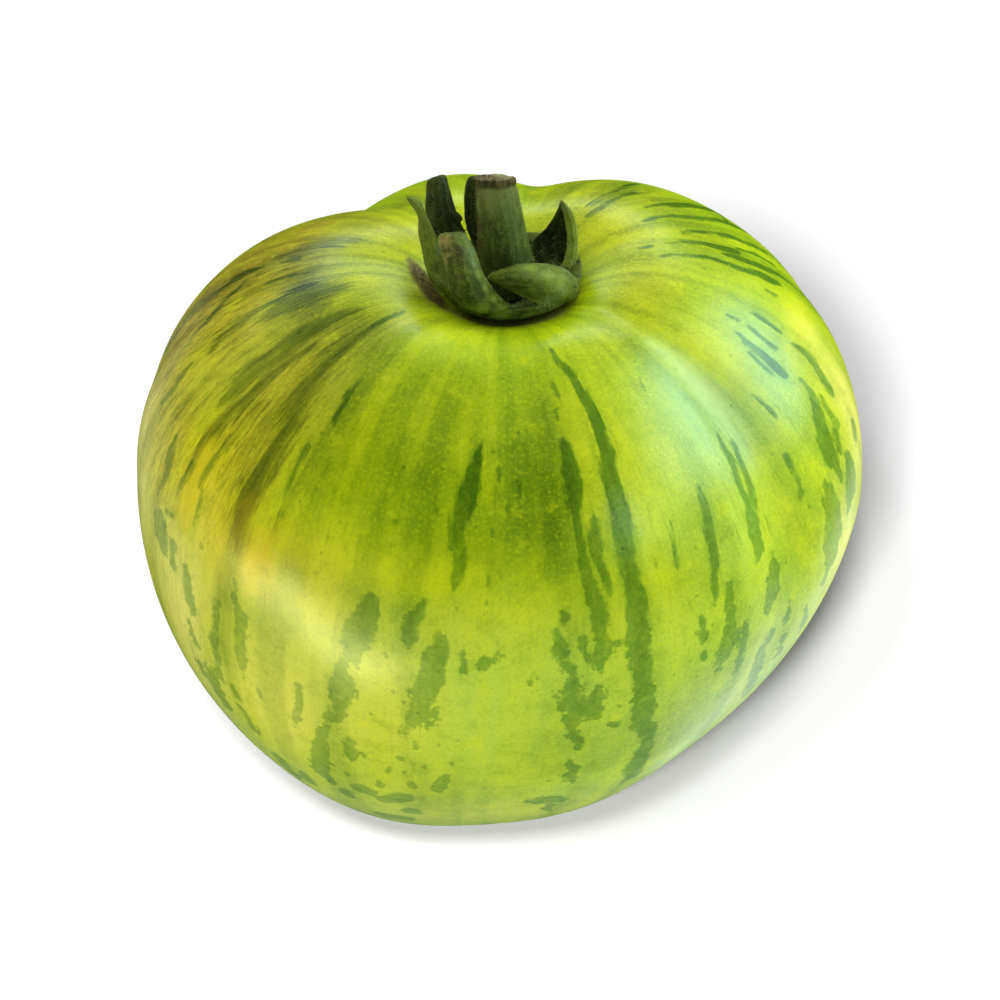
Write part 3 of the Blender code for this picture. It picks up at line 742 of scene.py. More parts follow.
# Green pigment in streaks along the meridians, which tear the left shoulder
broad_streaks = s.noise(grain, 0.75, 4.0, 0.62, 0.6)
fine_streaks = s.noise(grain, 1.9, 3.0, 0.6, 0.4)
hairlines = s.noise(grain, 4.5, 2.0, 0.6, 0.3)
torn = broad_streaks.step(0.4, 0.6)
shoulder = s.read("olive") + s.read("moss") + s.read("tan")
colour = (shoulder * torn * 0.25).stain(colour, OLIVE_PIGMENT)
colour = (shoulder * fine_streaks.step(0.46, 0.7) * 0.25).stain(colour, OLIVE_PIGMENT)
colour = (shoulder * hairlines.step(0.5, 0.62) * 0.5).stain(colour, OLIVE_PIGMENT)
colour = (fine_streaks.step(0.5, 0.72) * (0.3 - low_down * 0.25)).stain(colour, SOFT_PIGMENT)
frayed = (fine_streaks - 0.5) * 1.2 + (broad_streaks - 0.5) * 1.2
olive = (s.read("olive_band") + frayed * 0.9).step(0.15, 0.9)
colour = (olive * 0.85).stain(colour, OLIVE_PIGMENT)
green = (s.read("green_band") + frayed).step(0.0, 1.1)
colour = (green * 0.4).stain(colour, GREEN_PIGMENT)
colour = (s.read("brown_band") * (torn * 0.4 + 0.3)).mix(colour, srgb(168, 138, 6))
colour = (s.read("gold_band") * (torn * 0.4 + 0.5)).mix(colour, srgb(234, 216, 6))

# The stripes: frayed along the meridians above, and broken into blocks and islands low down
blocks = s.noise(s.cells(place_mm, BLOCKS_PER_MM, output=2), 0.9) - 0.5
rough = s.noise(place_mm, 0.6, 3.0, 0.6) - 0.5
ragged = (rough * 1.9 + blocks * 1.8) * (low_down * 0.75 + 0.25)
edge = s.read("stripe") + ragged + frayed * (0.45 - low_down * 0.3) + frayed * shoulder * 0.5
crisp = edge.step(-0.26, 0.16)
softened = (edge.step(-0.34, 0.26) - crisp) * s.read("olive")
flecks = (s.read("fleck") + rough * 0.9 + blocks * 0.6).step(-0.12, 0.12)
marks = crisp + softened + flecks * (low_down * 0.3 + 0.6)
worn = s.noise(place_mm, 1.3, 4.0, 0.7).step(0.25, 0.6)
faint = 1 - s.read("straw") * 0.3 - s.read("olive") * 0.1
halo = s.read("stripe").step(-1.5, 0.3) * torn * (1 - low_down)
colour = (halo * 0.3).stain(colour, GREEN_PIGMENT)
colour = (marks * faint * (worn * 0.36 + 0.66)).stain(colour, GREEN_PIGMENT)
colour = (marks * s.read("down").step(62, 46)).stain(colour, SOFT_PIGMENT)
chosen = s.lot(place_mm, SPECKS_PER_MM).step(0.4, 0.6)
specks = s.cells(place_mm, SPECKS_PER_MM).step(0.15, 0.05) * chosen
colour = (specks * 0.6).stain(colour, GREEN_PIGMENT)

# The dark line round the calyx, and the corky scar
cork = s.noise(place_mm, 2.6, 4.0, 0.72, 0.3)
ring = cork.step(0.35, 0.65).mix(srgb(108, 116, 30), srgb(170, 166, 90))
colour = s.read("ring").step(0.3, 0.7).mix(colour, ring)
corky = (s.read("scar") + (cork - 0.5) * 0.5).step(0.3, 0.7)
scar = cork.step(0.38, 0.62).mix(srgb(56, 50, 4), srgb(120, 110, 38))
colour = corky.mix(colour, scar)
# Darker at the scar's lower end, next to the left sepal
colour = (s.read("scar_dark_end") * 0.5).mix(colour, srgb(58, 46, 22))
colour.feed(shader, "Base Color")

# The skin's wax, and the faint relief of its dots and of the cork
wax = s.noise(place_mm, 0.5, 4.0, 0.6) * 0.14 + 0.24 - s.read("front") * 0.1
dull = corky * 0.4 + s.read("painted_crest_highlight") * 0.16 + s.read("cool") * 0.06
(wax + dull).feed(shader, "Roughness")
height = dots * 0.5 + s.noise(place_mm, 1.1, 3.0, 0.6) + corky * cork * 2.5
height.bump(0.22, 0.08 * MM).feed(shader, "Normal")
skin_piece = stand("fruit_skin", fruit_mesh, skin_look, "fruit")

# Calyx
# The green cup that held the flower, fleshy where it sits in the dimple. Its six sepals grow out of
# the rim, have curled up round the stalk, and dry out towards their tips.
GAP = 0.3 * MM
CUP_RADIUS = 6.9 * MM
CUP_BIAS = 0.08
CUP_SEAT = 3.4 * MM
CUP_FLOOR = 1.6 * MM
CUP_RIM = 2.4 * MM
CUP_THICKENING = 6
CUP_ROUNDING = 0.5
CUP_FACES = (90, 60)
SEPAL_FACES = (44, 100)
SEPAL_BLUNTNESS = 2.2
SEPAL_STEP = 0.01  # share of its way over which a sepal's direction is measured
CALYX_VOXEL = 0.12 * MM
JOIN_EASE = 0.5
JOIN_EASINGS = 5
# Each sepal from its tip to its root. A row gives one edge and then the other as pixels and as
# millimetres on the near side of the stalk's axis, then how thick the sepal is there and how far its
# middle bulges, also in millimetres.
SEPALS = {
    "front": [
        (439, 233, 4.6, 464, 231, 4.0, 1.5, 0.3),
        (438, 242, 5.0, 470, 242, 4.3, 1.8, 0.8),
        (442, 256, 5.3, 477, 255, 4.8, 1.9, 1.0),
        (446, 273, 5.7, 482, 270, 5.2, 1.9, 1.1),
        (449, 289, 5.9, 491, 285, 5.7, 1.8, 0.9),
        (459, 303, 6.1, 502, 298, 6.1, 1.7, 0.6),
        (476, 313, 6.3, 514, 306, 6.4, 1.5, 0.3),
    ],
    "left": [
        (406, 198, -0.2, 408, 196, -0.2, 0.5, 0.0),
        (410, 204, -0.2, 416, 198, -0.2, 0.9, 0.1),
        (415, 210, 0.0, 422, 203, 0.0, 0.9, 0.1),
        (418, 217, 0.2, 426, 213, 0.2, 0.9, 0.2),
        (418, 232, 0.5, 434, 230, 0.4, 1.1, 0.4),
        (421, 247, 0.8, 440, 246, 0.9, 1.3, 0.6),
        (425, 264, 1.3, 445, 262, 1.6, 1.5, 0.7),
        (431, 281, 2.3, 451, 278, 2.6, 1.5, 0.6),
        (442, 296, 3.7, 463, 291, 4.0, 1.3, 0.3),
    ],
    "back_left": [
        (427, 179, -2.6, 446, 173, -3.0, 0.9, 0.2),
        (426, 188, -2.6, 449, 185, -3.0, 1.2, 0.5),
        (425, 203, -2.6, 453, 200, -2.9, 1.4, 0.6),
        (426, 218, -2.5, 458, 215, -2.8, 1.4, 0.6),
        (428, 233, -2.3, 465, 231, -2.7, 1.4, 0.4),
        (432, 250, -2.0, 471, 248, -2.5, 1.4, 0.2),
        (438, 266, -1.6, 475, 264, -2.3, 1.2, 0.0),
    ],
    "curl": [
        (450, 214, -2.0, 453, 209, -2.0, 0.5, 0.1),
        (455, 219, -1.9, 459, 213, -1.9, 0.5, 0.1),
        (461, 222, -2.0, 463, 218, -2.0, 0.3, 0.0),
    ],
    "back": [
        (469, 176, -3.4, 481, 176, -3.6, 0.9, 0.1),
        (465, 187, -3.2, 482, 187, -3.6, 1.1, 0.2),
        (464, 211, -3.0, 483, 211, -3.5, 1.2, 0.2),
        (466, 227, -2.9, 485, 227, -3.4, 1.2, 0.2),
        (472, 242, -2.7, 491, 242, -3.2, 1.2, 0.1),
        (478, 256, -2.5, 497, 256, -3.0, 1.0, 0.0),
    ],
    "back_right": [
        (560, 200, -3.9, 563, 200, -3.9, 0.4, 0.0),
        (556, 212, -3.7, 569, 212, -3.7, 0.8, -0.4),
        (545, 229, -3.3, 573, 228, -3.3, 1.0, -1.0),
        (533, 241, -3.1, 573, 242, -2.8, 1.1, -1.3),
        (533, 252, -2.8, 572, 255, -2.1, 1.2, -1.2),
        (537, 265, -2.3, 570, 269, -1.2, 1.2, -0.8),
    ],
    "back_right_margin": [
        (560, 200, -3.8, 563, 200, -3.9, 0.5, 0.0),
        (563, 212, -3.3, 571, 212, -3.8, 0.8, 0.2),
        (566, 228, -2.6, 575, 227, -3.3, 0.9, 0.3),
        (567, 243, -2.0, 575, 242, -2.8, 0.9, 0.3),
        (565, 257, -1.3, 574, 257, -2.1, 1.0, 0.3),
        (560, 270, -0.4, 573, 270, -1.2, 1.0, 0.2),
    ],
    "front_right": [
        (487, 279, 4.7, 487, 276, 4.6, 0.7, 0.0),
        (500, 286, 5.3, 499, 270, 4.5, 1.3, 0.5),
        (515, 293, 5.8, 514, 265, 4.2, 1.7, 0.9),
        (531, 301, 6.1, 532, 263, 3.6, 1.9, 1.2),
        (544, 305, 5.9, 548, 264, 2.7, 2.0, 1.1),
        (552, 306, 5.2, 561, 268, 1.5, 2.0, 0.9),
        (557, 305, 4.5, 568, 276, 0.4, 1.8, 0.7),
        (559, 304, 3.8, 570, 286, -0.6, 1.4, 0.4),
    ],
}
# How dark, how yellow and how dried the cup and each of the sepals are. The darkness is mostly painted
# shade, heaviest on the sepals at the back, whose inner faces lie in shadow
CALYX_TONES = {
    "cup": (0.35, 0.1, 0.0),
    "front": (0.15, 0.1, 0.9),
    "left": (0.1, 0.8, 0.1),
    "back_left": (0.85, 0.0, 0.1),
    "curl": (1.0, 0.0, 0.3),
    "back": (1.0, 0.0, 0.2),
    "back_right": (0.9, 0.0, 0.3),
    "back_right_margin": (0.0, 1.0, 0.0),
    "front_right": (0.0, 0.3, 0.1),
}


def along(run, share):
    """The values of a run at shares of its way, on a smooth curve through all its points."""
    run = np.array(run, dtype=float)
    place = share * (len(run) - 1)
    start = np.minimum(place.astype(int), len(run) - 2)
    f = (place - start)[:, None]
    before, a, b, after = (run[np.clip(start + k, 0, len(run) - 1)] for k in (-1, 0, 1, 2))
    value = before * (2 * f**2 - f - f**3) + a * (2 - 5 * f**2 + 3 * f**3)
    return ((value + b * (f + 4 * f**2 - 3 * f**3) + after * (f**3 - f**2)) / 2).T


def held_at(x, y, near_mm):
    """The place on the near side of the stalk's axis that shows at a pixel."""
    way = sight(x, y)
    return camera.location + way * ((-near_mm * MM - camera.location.y) / way.y)


def sepal(name, rows):
    """A fleshy blade between its two edges, and how far along and across it its points lie."""
    mesh, down, turn = ball("sepal_" + name, *SEPAL_FACES)
    run = [(*held_at(*row[:3]), *held_at(*row[3:6]), row[6] * MM, row[7] * MM) for row in rows]
    share = (1 - np.cos(np.radians(down))) / 2
    side, face = np.cos(np.radians(turn)), np.sin(np.radians(turn))
    values = along(run, share)
    before = along(run, np.maximum(share - SEPAL_STEP, 0))
    after = along(run, np.minimum(share + SEPAL_STEP, 1))
    forward = unit((after[:3] + after[3:6] - before[:3] - before[3:6]).T)
    middle, half = (values[:3] + values[3:6]).T / 2, (values[3:6] - values[:3]).T / 2
    outward = unit(np.cross(forward, half))
    blunt = np.minimum(1, np.sqrt(np.sin(np.radians(down)) * SEPAL_BLUNTNESS))
    lift = values[7] * (1 - side**2) + values[6] / 2 * face * blunt
    move_to(mesh, middle + half * (side * blunt)[:, None] + outward * lift[:, None])
    return mesh, share, side


def cup():
    """The cup: a sphere flattened on to the dimple, thicker at its rounded rim, in a sepal's form."""
    mesh, down, turn = ball("cup", *CUP_FACES)
    out, angle = np.sin(np.radians(down)), np.radians(turn)
    radius = CUP_RADIUS * out * (1 + CUP_BIAS * np.cos(angle))
    thickness = CUP_FLOOR + (CUP_RIM - CUP_FLOOR) * out**CUP_THICKENING
    rise = np.cos(np.radians(down))
    share = (1 + np.sign(rise) * np.abs(rise) ** CUP_ROUNDING) / 2
    under = skin_height(radius, turn) + GAP
    over = skin_height(np.maximum(radius, CUP_SEAT), turn) + GAP + thickness
    height = under + (over - under) * share
    move_to(mesh, np.stack([radius * np.cos(angle), radius * np.sin(angle), height], 1))
    return mesh, np.ones(len(down)), np.zeros(len(down))


parts = bmesh.new()
sources, facts = [], []
grown = {"cup": cup()} | {name: sepal(name, rows) for name, rows in SEPALS.items()}
for name, (mesh, share, side) in grown.items():
    parts.from_mesh(mesh)
    sources.append(vectors(mesh.vertices, "co"))
    tones = [np.full(len(share), tone) for tone in CALYX_TONES[name]]
    facts.append(np.stack([share, side, *tones], axis=1))
loose = bpy.data.meshes.new("calyx_parts")
parts.to_mesh(loose)
parts.free()
mould = bpy.data.objects.new("calyx_parts", loose)
bpy.context.scene.collection.objects.link(mould)
fuse = mould.modifiers.new("grown together", "REMESH")
fuse.mode = "VOXEL"
fuse.voxel_size = CALYX_VOXEL
ease = mould.modifiers.new("rounded joins", "SMOOTH")
ease.factor = JOIN_EASE
ease.iterations = JOIN_EASINGS
grown_together = mould.evaluated_get(bpy.context.evaluated_depsgraph_get())
calyx_mesh = bpy.data.meshes.new_from_object(grown_together)
bpy.data.objects.remove(mould)

sources, facts = np.concatenate(sources), np.concatenate(facts)
source_tree = KDTree(len(sources))
for number, place in enumerate(sources):
    source_tree.insert(place, number)
source_tree.balance()
calyx_places = vectors(calyx_mesh.vertices, "co")
nearest = [source_tree.find(place)[1] for place in calyx_places]
for name, values in zip(("share", "side", "dark", "yellow", "dried"), facts[nearest].T):
    paint(calyx_mesh, name, np.ascontiguousarray(values))
WRINKLE = 0.05 * MM
WRINKLES_PER_MM = 0.8
outward = vectors(calyx_mesh.vertex_normals, "vector")
wrinkles = [noise.noise(Vector(place) / MM * WRINKLES_PER_MM) for place in calyx_places]
move_to(calyx_mesh, calyx_places + outward * np.array(wrinkles)[:, None] * WRINKLE)
calyx_mesh.shade_smooth()
# Spots on the near side: pixel at the middle and reach in millimetres. The light ones are partly
# painted highlights, and the deep ones painted shade in the hollows between the sepals
SEPAL_SPOTS = {
    "tan": [(444, 243, 0.7), (445, 252, 0.7), (447, 261, 0.5)],
    "brown": [(454, 238, 0.6), (458, 248, 0.8), (458, 262, 0.7), (461, 275, 0.6), (577, 268, 0.5),
              (579, 280, 0.6), (578, 292, 0.5), (456, 310, 0.8)],
    "grey": [(468, 238, 0.8), (471, 252, 0.8), (474, 264, 0.6), (437, 283, 0.4), (566, 270, 0.7),
             (560, 292, 0.8), (548, 302, 0.8), (512, 306, 0.5), (438, 250, 0.5), (565, 208, 0.6)],
    "light": [(561, 283, 1.0), (549, 276, 1.0), (530, 268, 0.8), (500, 312, 0.8), (480, 310, 0.8),
              (570, 232, 0.9), (569, 248, 0.7), (478, 274, 0.4), (486, 288, 0.4), (494, 298, 0.4)],
    "deep": [(452, 292, 1.2), (468, 297, 1.3), (436, 268, 0.5), (441, 288, 0.7), (505, 284, 1.2),
             (520, 286, 1.2), (526, 296, 1.0), (431, 280, 0.7), (538, 290, 0.8)],
}


def paint_spots(mesh, spots_by_name):
    """Keeps how near each point of a mesh is to the spots under a name: 1 on one, and 0 far off."""
    tree, points = tree_of(mesh), vectors(mesh.vertices, "co")
    for name, spots in spots_by_name.items():
        reaches = [np.linalg.norm(points - seen_at(x, y, tree), axis=1) / (reach_mm * MM)
                   for x, y, reach_mm in spots]
        paint(mesh, name, fade(np.min(reaches, axis=0), 0, 1))


paint_spots(calyx_mesh, SEPAL_SPOTS)

calyx_look, s, shader = finish_of("calyx_green", Roughness=0.62, IOR=1.4, Specular_IOR_Level=0.2)
place_mm = s.place_mm()
blotch = s.noise(place_mm, 0.9, 5.0, 0.68)
fine = s.noise(place_mm, 5.0, 3.0, 0.7)
colour = blotch.step(0.36, 0.64).mix(srgb(40, 58, 3), srgb(92, 112, 18))
colour = (s.read("yellow") * 0.6).mix(colour, srgb(132, 152, 34))
# Partly painted highlights on the sepals, partly the pale edge at the front of the cup
colour = (s.read("light") * 0.7).mix(colour, srgb(140, 170, 60))
colour = (s.read("grey") * (blotch.step(0.4, 0.6) * 0.5 + 0.25)).mix(colour, srgb(110, 138, 92))
# Painted shade in the hollows and corners between the sepals
colour = (s.read("deep") * 0.7).mix(colour, srgb(34, 50, 1))
# Painted shade, heavy on the sepals at the back
colour = (s.read("dark") * 0.75).mix(colour, srgb(24, 36, 8))
colour = (s.read("brown") * blotch.step(0.55, 0.42) * 0.85).mix(colour, srgb(72, 56, 30))
colour = (s.read("tan") * blotch.step(0.4, 0.55)).mix(colour, srgb(158, 140, 74))
dry = s.read("dried") * s.read("share").step(0.5, 0.0) * blotch.step(0.6, 0.45)
colour = (dry * 0.3).mix(colour, srgb(96, 96, 60))

# Veins along each sepal, its pale margin, and the grain of its short hairs
VEINS = 11
VEIN_WANDER = 14
side = s.read("side")
veins = s.maths("SINE", side * VEINS + blotch * VEIN_WANDER) * 0.5 + 0.5
colour = (veins.step(0.55, 1.0) * 0.12).mix(colour, srgb(150, 168, 80))
margin = s.maths("ABSOLUTE", side).step(0.9, 0.99) * (1 - s.read("dark"))
colour = (margin * blotch.step(0.35, 0.6) * 0.55).mix(colour, srgb(148, 158, 74))
colour = (fine.step(0.52, 0.78) * 0.35).mix(colour, srgb(150, 166, 84))
colour = (fine.step(0.48, 0.2) * 0.6).mix(colour, srgb(24, 36, 4))
colour.feed(shader, "Base Color")
(fine + blotch * 1.5 + veins * 0.4).bump(0.8, 0.2 * MM).feed(shader, "Normal")
calyx_piece = stand("calyx", calyx_mesh, calyx_look, "calyx")

# Stalk
# The stub that was left on the fruit when it was cut from the vine: ridged, flared where it grows
# out of the calyx, and browned and fibrous at the slanting cut.
STALK_HEIGHT = 12.1 * MM
STALK_FOOT = 3.0 * MM
STALK_TOP = 1.95 * MM
STALK_LEAN = 1.0 * MM
STALK_CURVE = 1.5
STALK_CUT_SLOPE = 0.45
STALK_RIDGES = 5
STALK_RIDGE_DEPTH = 0.05
CHIP_DEPTH = 0.18 * MM
CHIPS_PER_MM = 1.1
CHIPS_RISE = (0.9, 0.98)  # shares of the height between which the chips set in
NECK = (0.93, 0.02)  # share of the height at its middle, and its reach
NECK_DEPTH = 0.06
FLUTES = 17
FLUTE_DEPTH = 0.012
FLUTE_TWIST = 6
CUT_START = 0.84
STALK_FACES = (120, 160)
PROFILE_WAY = [0, 0.08, 0.82, 0.86, 0.92, 1]
PROFILE_OUT = [0, 1, 1, 0.97, 0.6, 0]
PROFILE_UP = [0, 0, 0.985, 1, 0.985, 0.97]

stalk_mesh, down, turn = ball("stem", *STALK_FACES)
way = 1 - down / 180
out, up = np.interp(way, PROFILE_WAY, PROFILE_OUT), np.interp(way, PROFILE_WAY, PROFILE_UP)
angle = np.radians(turn)
radius = STALK_TOP + (STALK_FOOT - STALK_TOP) * (1 - up) ** STALK_CURVE
radius = radius * (1 + STALK_RIDGE_DEPTH * np.cos(STALK_RIDGES * angle)) * out
flutes = FLUTE_DEPTH * np.cos(FLUTES * angle + FLUTE_TWIST * up)
radius = radius * (1 - NECK_DEPTH * fade(up, *NECK) + flutes)
foot = skin_height(np.array([CUP_SEAT]), np.zeros(1))[0] + GAP + CUP_FLOOR + GAP
stalk_y = radius * np.sin(angle)
stalk_x = radius * np.cos(angle) - STALK_LEAN * up**STALK_CURVE
stalk_z = foot + (STALK_HEIGHT - STALK_CUT_SLOPE * stalk_y) * up
chips = [abs(noise.noise(Vector((x, y, 0)) / MM * CHIPS_PER_MM)) for x, y in zip(stalk_x, stalk_y)]
stalk_z = stalk_z - CHIP_DEPTH * np.array(chips) * np.interp(up, CHIPS_RISE, (0, 1))
move_to(stalk_mesh, np.stack([stalk_x, stalk_y, stalk_z], axis=1))
paint(stalk_mesh, "share", up)
paint(stalk_mesh, "cut", (way > CUT_START) * 1.0)
# Its brown bark and its cooler green: longitude at the middle and reach, in degrees
for name, longitude, reach in ("bark", -152, 20), ("cool", -55, 28):
    paint(stalk_mesh, name, fade(turn_between(turn, longitude), 0, reach))
paint_spots(stalk_mesh, {"pale": [(501, 175, 0.7), (508, 177, 0.7)]})

stalk_look, s, shader = finish_of("stalk_green", Roughness=0.7, IOR=1.4, Specular_IOR_Level=0.12)
place_mm = s.place_mm()
long_ways = s.node("VectorMath", {"operation": "MULTIPLY"}, {0: place_mm, 1: (1, 1, 0.4)})
streak = s.noise(long_ways, 1.3, 5.0, 0.68)
fine = s.noise(place_mm, 5.0, 3.0, 0.7)
share = s.read("share")
colour = streak.step(0.32, 0.68).mix(srgb(50, 68, 16), srgb(92, 112, 40))
colour = (share.step(0.55, 0.95) * 0.65).mix(colour, srgb(128, 140, 70))
colour = (s.read("cool") * 0.5).mix(colour, srgb(66, 92, 42))
colour = (share.step(0.5, 0.15) * 0.5).mix(colour, srgb(50, 66, 14))
colour = (s.read("bark") * streak.step(0.6, 0.4) * 0.9).mix(colour, srgb(84, 72, 32))
colour = (fine.step(0.52, 0.78) * 0.35).mix(colour, srgb(140, 156, 92))
colour = (fine.step(0.48, 0.2) * 0.55).mix(colour, srgb(30, 42, 8))
top = (share + (fine - 0.5) * 0.05).step(0.9, 0.945)
colour = (top * 0.95).mix(colour, streak.step(0.4, 0.65).mix(srgb(46, 46, 24), srgb(88, 80, 42)))
fibres = fine.step(0.42, 0.66).mix(srgb(58, 48, 20), srgb(138, 126, 86))
fibres = (s.read("pale") * fine.step(0.3, 0.5)).mix(fibres, srgb(152, 156, 104))
colour = (s.read("cut") * 0.95).mix(colour, fibres)
colour.feed(shader, "Base Color")
(fine + streak).bump(0.8, 0.2 * MM).feed(shader, "Normal")
stalk_piece = stand("stem", stalk_mesh, stalk_look, "stem")

# Hairs
# The short pale hairs that grow out of the calyx and the stalk, thick at the root and drawn out to a
# point, with a few longer ones in the hollow of the right sepal.
CALYX_HAIRS = 1500
STALK_HAIRS = 600
HAIR_CEILING = 68.5 * MM
HAIR_LEAST_RISE = -0.2  # how far downwards the surface under a hair may face
HAIR_LENGTH_MM = (0.2, 0.6)
HAIR_THICKNESS = 0.02 * MM
HAIR_POINT = 0.25  # share of the thickness that is left near the end
HAIR_SPREAD = 0.35
HAIR_LIFT = (0, 0, 0.25)
HAIR_BEND = 0.3
HAIR_ASKEW = 0.3 * MM  # turns a hair's way into one beside it
HAIR_STEPS = np.array([[-0.1], [0.35], [0.7], [1.0]])  # shares of the length, from inside the skin
LONG_HAIRS = [
    [(548, 242), (553, 238), (559, 236), (566, 238)],
    [(550, 247), (556, 243), (562, 242), (568, 244)],
    [(535, 257), (539, 253), (543, 249), (547, 247)],
    [(541, 262), (546, 257), (552, 255), (557, 256)],
]
LONG_HAIR_NEAR_MM = -1.6
LONG_HAIR_STEP_MM = 0.2
LONG_HAIR_THICKNESS = 1.6 * HAIR_THICKNESS


def hair(way, thickness):
    """The points and faces of a hair along a way, with three sides and a sharp end."""
    steps = np.gradient(way, axis=0)
    aside = unit(np.cross(steps, steps[:, [1, 2, 0]] + HAIR_ASKEW))
    other = unit(np.cross(steps, aside))
    rows = len(way) - 1
    half = thickness / 2 * np.linspace(1, HAIR_POINT, len(way))[:rows, None]
    corners = [way[:rows] + (aside[:rows] * math.cos(a) + other[:rows] * math.sin(a)) * half
               for a in (0, math.tau / 3, 2 * math.tau / 3)]
    points = np.concatenate([np.stack(corners, axis=1).reshape(-1, 3), way[-1:]])
    faces = [(3 * row + k, 3 * row + (k + 1) % 3, 3 * row + 3 + (k + 1) % 3, 3 * row + 3 + k)
             for row in range(rows - 1) for k in range(3)]
    last = 3 * (rows - 1)
    faces += [(last + k, last + (k + 1) % 3, 3 * rows) for k in range(3)]
    faces.append((2, 1, 0))
    return points, faces


chance = np.random.default_rng(3)
hairs = []
for mesh, number in (calyx_mesh, CALYX_HAIRS), (stalk_mesh, STALK_HAIRS):
    roots, outward = vectors(mesh.vertices, "co"), vectors(mesh.vertex_normals, "vector")
    hairy = np.nonzero((roots[:, 2] < HAIR_CEILING) & (outward[:, 2] > HAIR_LEAST_RISE))[0]
    for root in chance.choice(hairy, number, replace=False):
        length = chance.uniform(*HAIR_LENGTH_MM) * MM
        lean = outward[root] + chance.normal(0, HAIR_SPREAD, 3) + HAIR_LIFT
        lean = lean / np.linalg.norm(lean)
        bend = chance.normal(0, HAIR_BEND, 3)
        way = roots[root] + length * (lean * HAIR_STEPS + bend * HAIR_STEPS**2 / 2)
        hairs.append(hair(way, HAIR_THICKNESS))
for pixels in LONG_HAIRS:
    nears = [LONG_HAIR_NEAR_MM + LONG_HAIR_STEP_MM * number for number in range(len(pixels))]
    way = np.array([held_at(x, y, near) for (x, y), near in zip(pixels, nears)])
    hairs.append(hair(way, LONG_HAIR_THICKNESS))
hair_points, hair_faces, count = [], [], 0
for points, faces in hairs:
    hair_points.append(points)
    hair_faces += [tuple(count + corner for corner in face) for face in faces]
    count += len(points)
hair_mesh = bpy.data.meshes.new("calyx_hairs")
hair_mesh.from_pydata(np.concatenate(hair_points), [], hair_faces)
hair_mesh.shade_smooth()
hair_look, s, shader = finish_of("pale_hair", Roughness=0.5, IOR=1.4, Specular_IOR_Level=0.2)
tone = s.noise(s.place_mm(), 1.2, 2.0, 0.6).step(0.4, 0.65)
tone.mix(srgb(96, 116, 44), srgb(170, 182, 116)).feed(shader, "Base Color")
hair_piece = stand("calyx_hairs", hair_mesh, hair_look)

# Floor
# A plain painted board under the fruit, wide enough that its edges never show. Its own lamps make
# it pale.
FLOOR_REACH = 3
FLOOR_PAINT = (0.2, 0.2, 0.2, 1)

floor_shape = bmesh.new()
bmesh.ops.create_grid(floor_shape, x_segments=1, y_segments=1, size=FLOOR_REACH)
floor_mesh = bpy.data.meshes.new("floor")
floor_shape.to_mesh(floor_mesh)
floor_shape.free()
floor_look = finish_of(
    "pale_board", Base_Color=FLOOR_PAINT, Roughness=0.9, Specular_IOR_Level=0.0)[0]
floor_mesh.materials.append(floor_look)
floor = bpy.data.objects.new("floor", floor_mesh)
bpy.context.scene.collection.objects.link(floor)

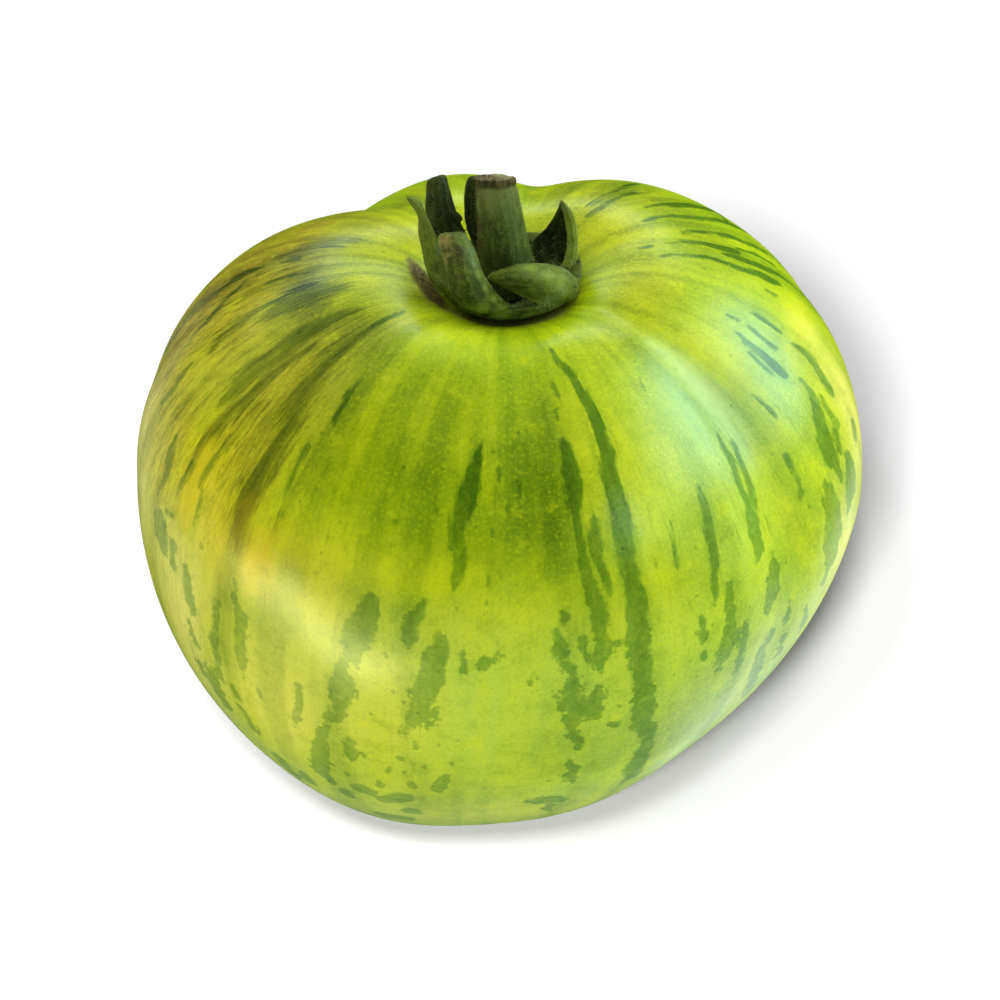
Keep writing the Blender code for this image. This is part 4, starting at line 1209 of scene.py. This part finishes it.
# Light
# Soft boxes round the fruit and an even white surrounding, as in a plain studio. Those that end in
# shine make highlights alone, those that start with floor light the floor alone, and the others light
# the pieces without a highlight.
SURROUNDING = 0.4
WHITE = (1.0, 1.0, 1.0)
LIGHTS = {
    # azimuth from the near side towards +X, elevation, roll, distance, width, height, watts, colour
    "window": (118, 30, 0, 0.6, 0.3, 0.3, 1.6, WHITE),
    "far": (172, 32, 0, 0.6, 0.35, 0.2, 0.9, WHITE),
    "left": (-130, 35, 0, 0.6, 0.3, 0.3, 0.8, (1.0, 0.95, 0.85)),
    "near": (-50, 5, 0, 0.6, 0.4, 0.4, 0.4, WHITE),
    "right": (75, 8, 0, 0.5, 0.25, 0.25, 1.0, WHITE),
    "above": (180, 78, 0, 0.8, 0.8, 0.8, 3.0, WHITE),
    "window_shine": (121, 27, 20, 0.6, 0.36, 0.2, 3.0, (0.48, 0.87, 1.0)),
    "veil_shine": (103, 41, 0, 0.6, 0.42, 0.26, 2.6, (0.55, 0.88, 1.0)),
    "front_shine": (44, 41, 0, 0.6, 0.13, 0.18, 0.55, (0.6, 0.9, 1.0)),
    "far_shine": (182, 29, 0, 0.6, 0.46, 0.1, 0.85, (0.8, 0.97, 0.85)),
    "shoulder_shine": (-152, 24, 0, 0.6, 0.3, 0.08, 0.2, (0.85, 0.95, 0.9)),
    "left_shine": (-53, -21, -37, 0.3, 0.26, 0.055, 1.3, (1.0, 0.95, 0.45)),
    "right_rim_shine": (114, -46, 0, 0.5, 0.5, 0.35, 0.7, (0.8, 0.95, 1.0)),
    "under_shine": (165, -74, 0, 0.5, 0.6, 0.4, 0.19, (0.85, 1.0, 1.0)),
    "left_rim_shine": (-132, -20, 0, 0.5, 0.35, 0.3, 0.2, (1.0, 0.95, 0.7)),
    "floor_low": (-10, 36, 0, 5.0, 0.5, 0.5, 1070.0, WHITE),
    "floor_side": (-20, 52, 0, 5.0, 0.5, 0.5, 190.0, WHITE),
    "floor_high": (-4, 49.5, 0, 5.0, 0.6, 0.6, 630.0, WHITE),
}
lit_fruit = bpy.data.collections.new("lit_fruit")
for piece in skin_piece, calyx_piece, stalk_piece, hair_piece:
    lit_fruit.objects.link(piece)
lit_floor = bpy.data.collections.new("lit_floor")
lit_floor.objects.link(floor)
for name, (azimuth, elevation, roll, distance, width, height, watts, colour) in LIGHTS.items():
    light = bpy.data.lights.new(name, "AREA")
    light.shape = "RECTANGLE"
    light.size, light.size_y = width, height
    light.energy, light.color = watts, colour
    lamp = bpy.data.objects.new(name, light)
    a, e = math.radians(azimuth), math.radians(elevation)
    out = Vector((math.sin(a) * math.cos(e), -math.cos(a) * math.cos(e), math.sin(e)))
    lamp.location = Vector((0, 0, WAIST_HEIGHT)) + out * distance
    lamp.rotation_mode = "QUATERNION"
    lamp.rotation_quaternion = out.to_track_quat("Z", "Y") @ Quaternion((0, 0, 1), math.radians(roll))
    bpy.context.scene.collection.objects.link(lamp)
    lamp.visible_camera = False
    lamp.visible_glossy = name.endswith("shine")
    lamp.visible_diffuse = not lamp.visible_glossy
    lamp.light_linking.receiver_collection = lit_floor if name.startswith("floor") else lit_fruit
    lamp.light_linking.blocker_collection = lit_fruit
floor.visible_glossy = False
world = bpy.data.worlds.new("studio")
world.use_nodes = True
background = world.node_tree.nodes["Background"]
background.inputs["Color"].default_value = (1, 1, 1, 1)
background.inputs["Strength"].default_value = SURROUNDING
world.cycles_visibility.glossy = False
bpy.context.scene.world = world
bpy.context.scene.view_settings.view_transform = "Standard"
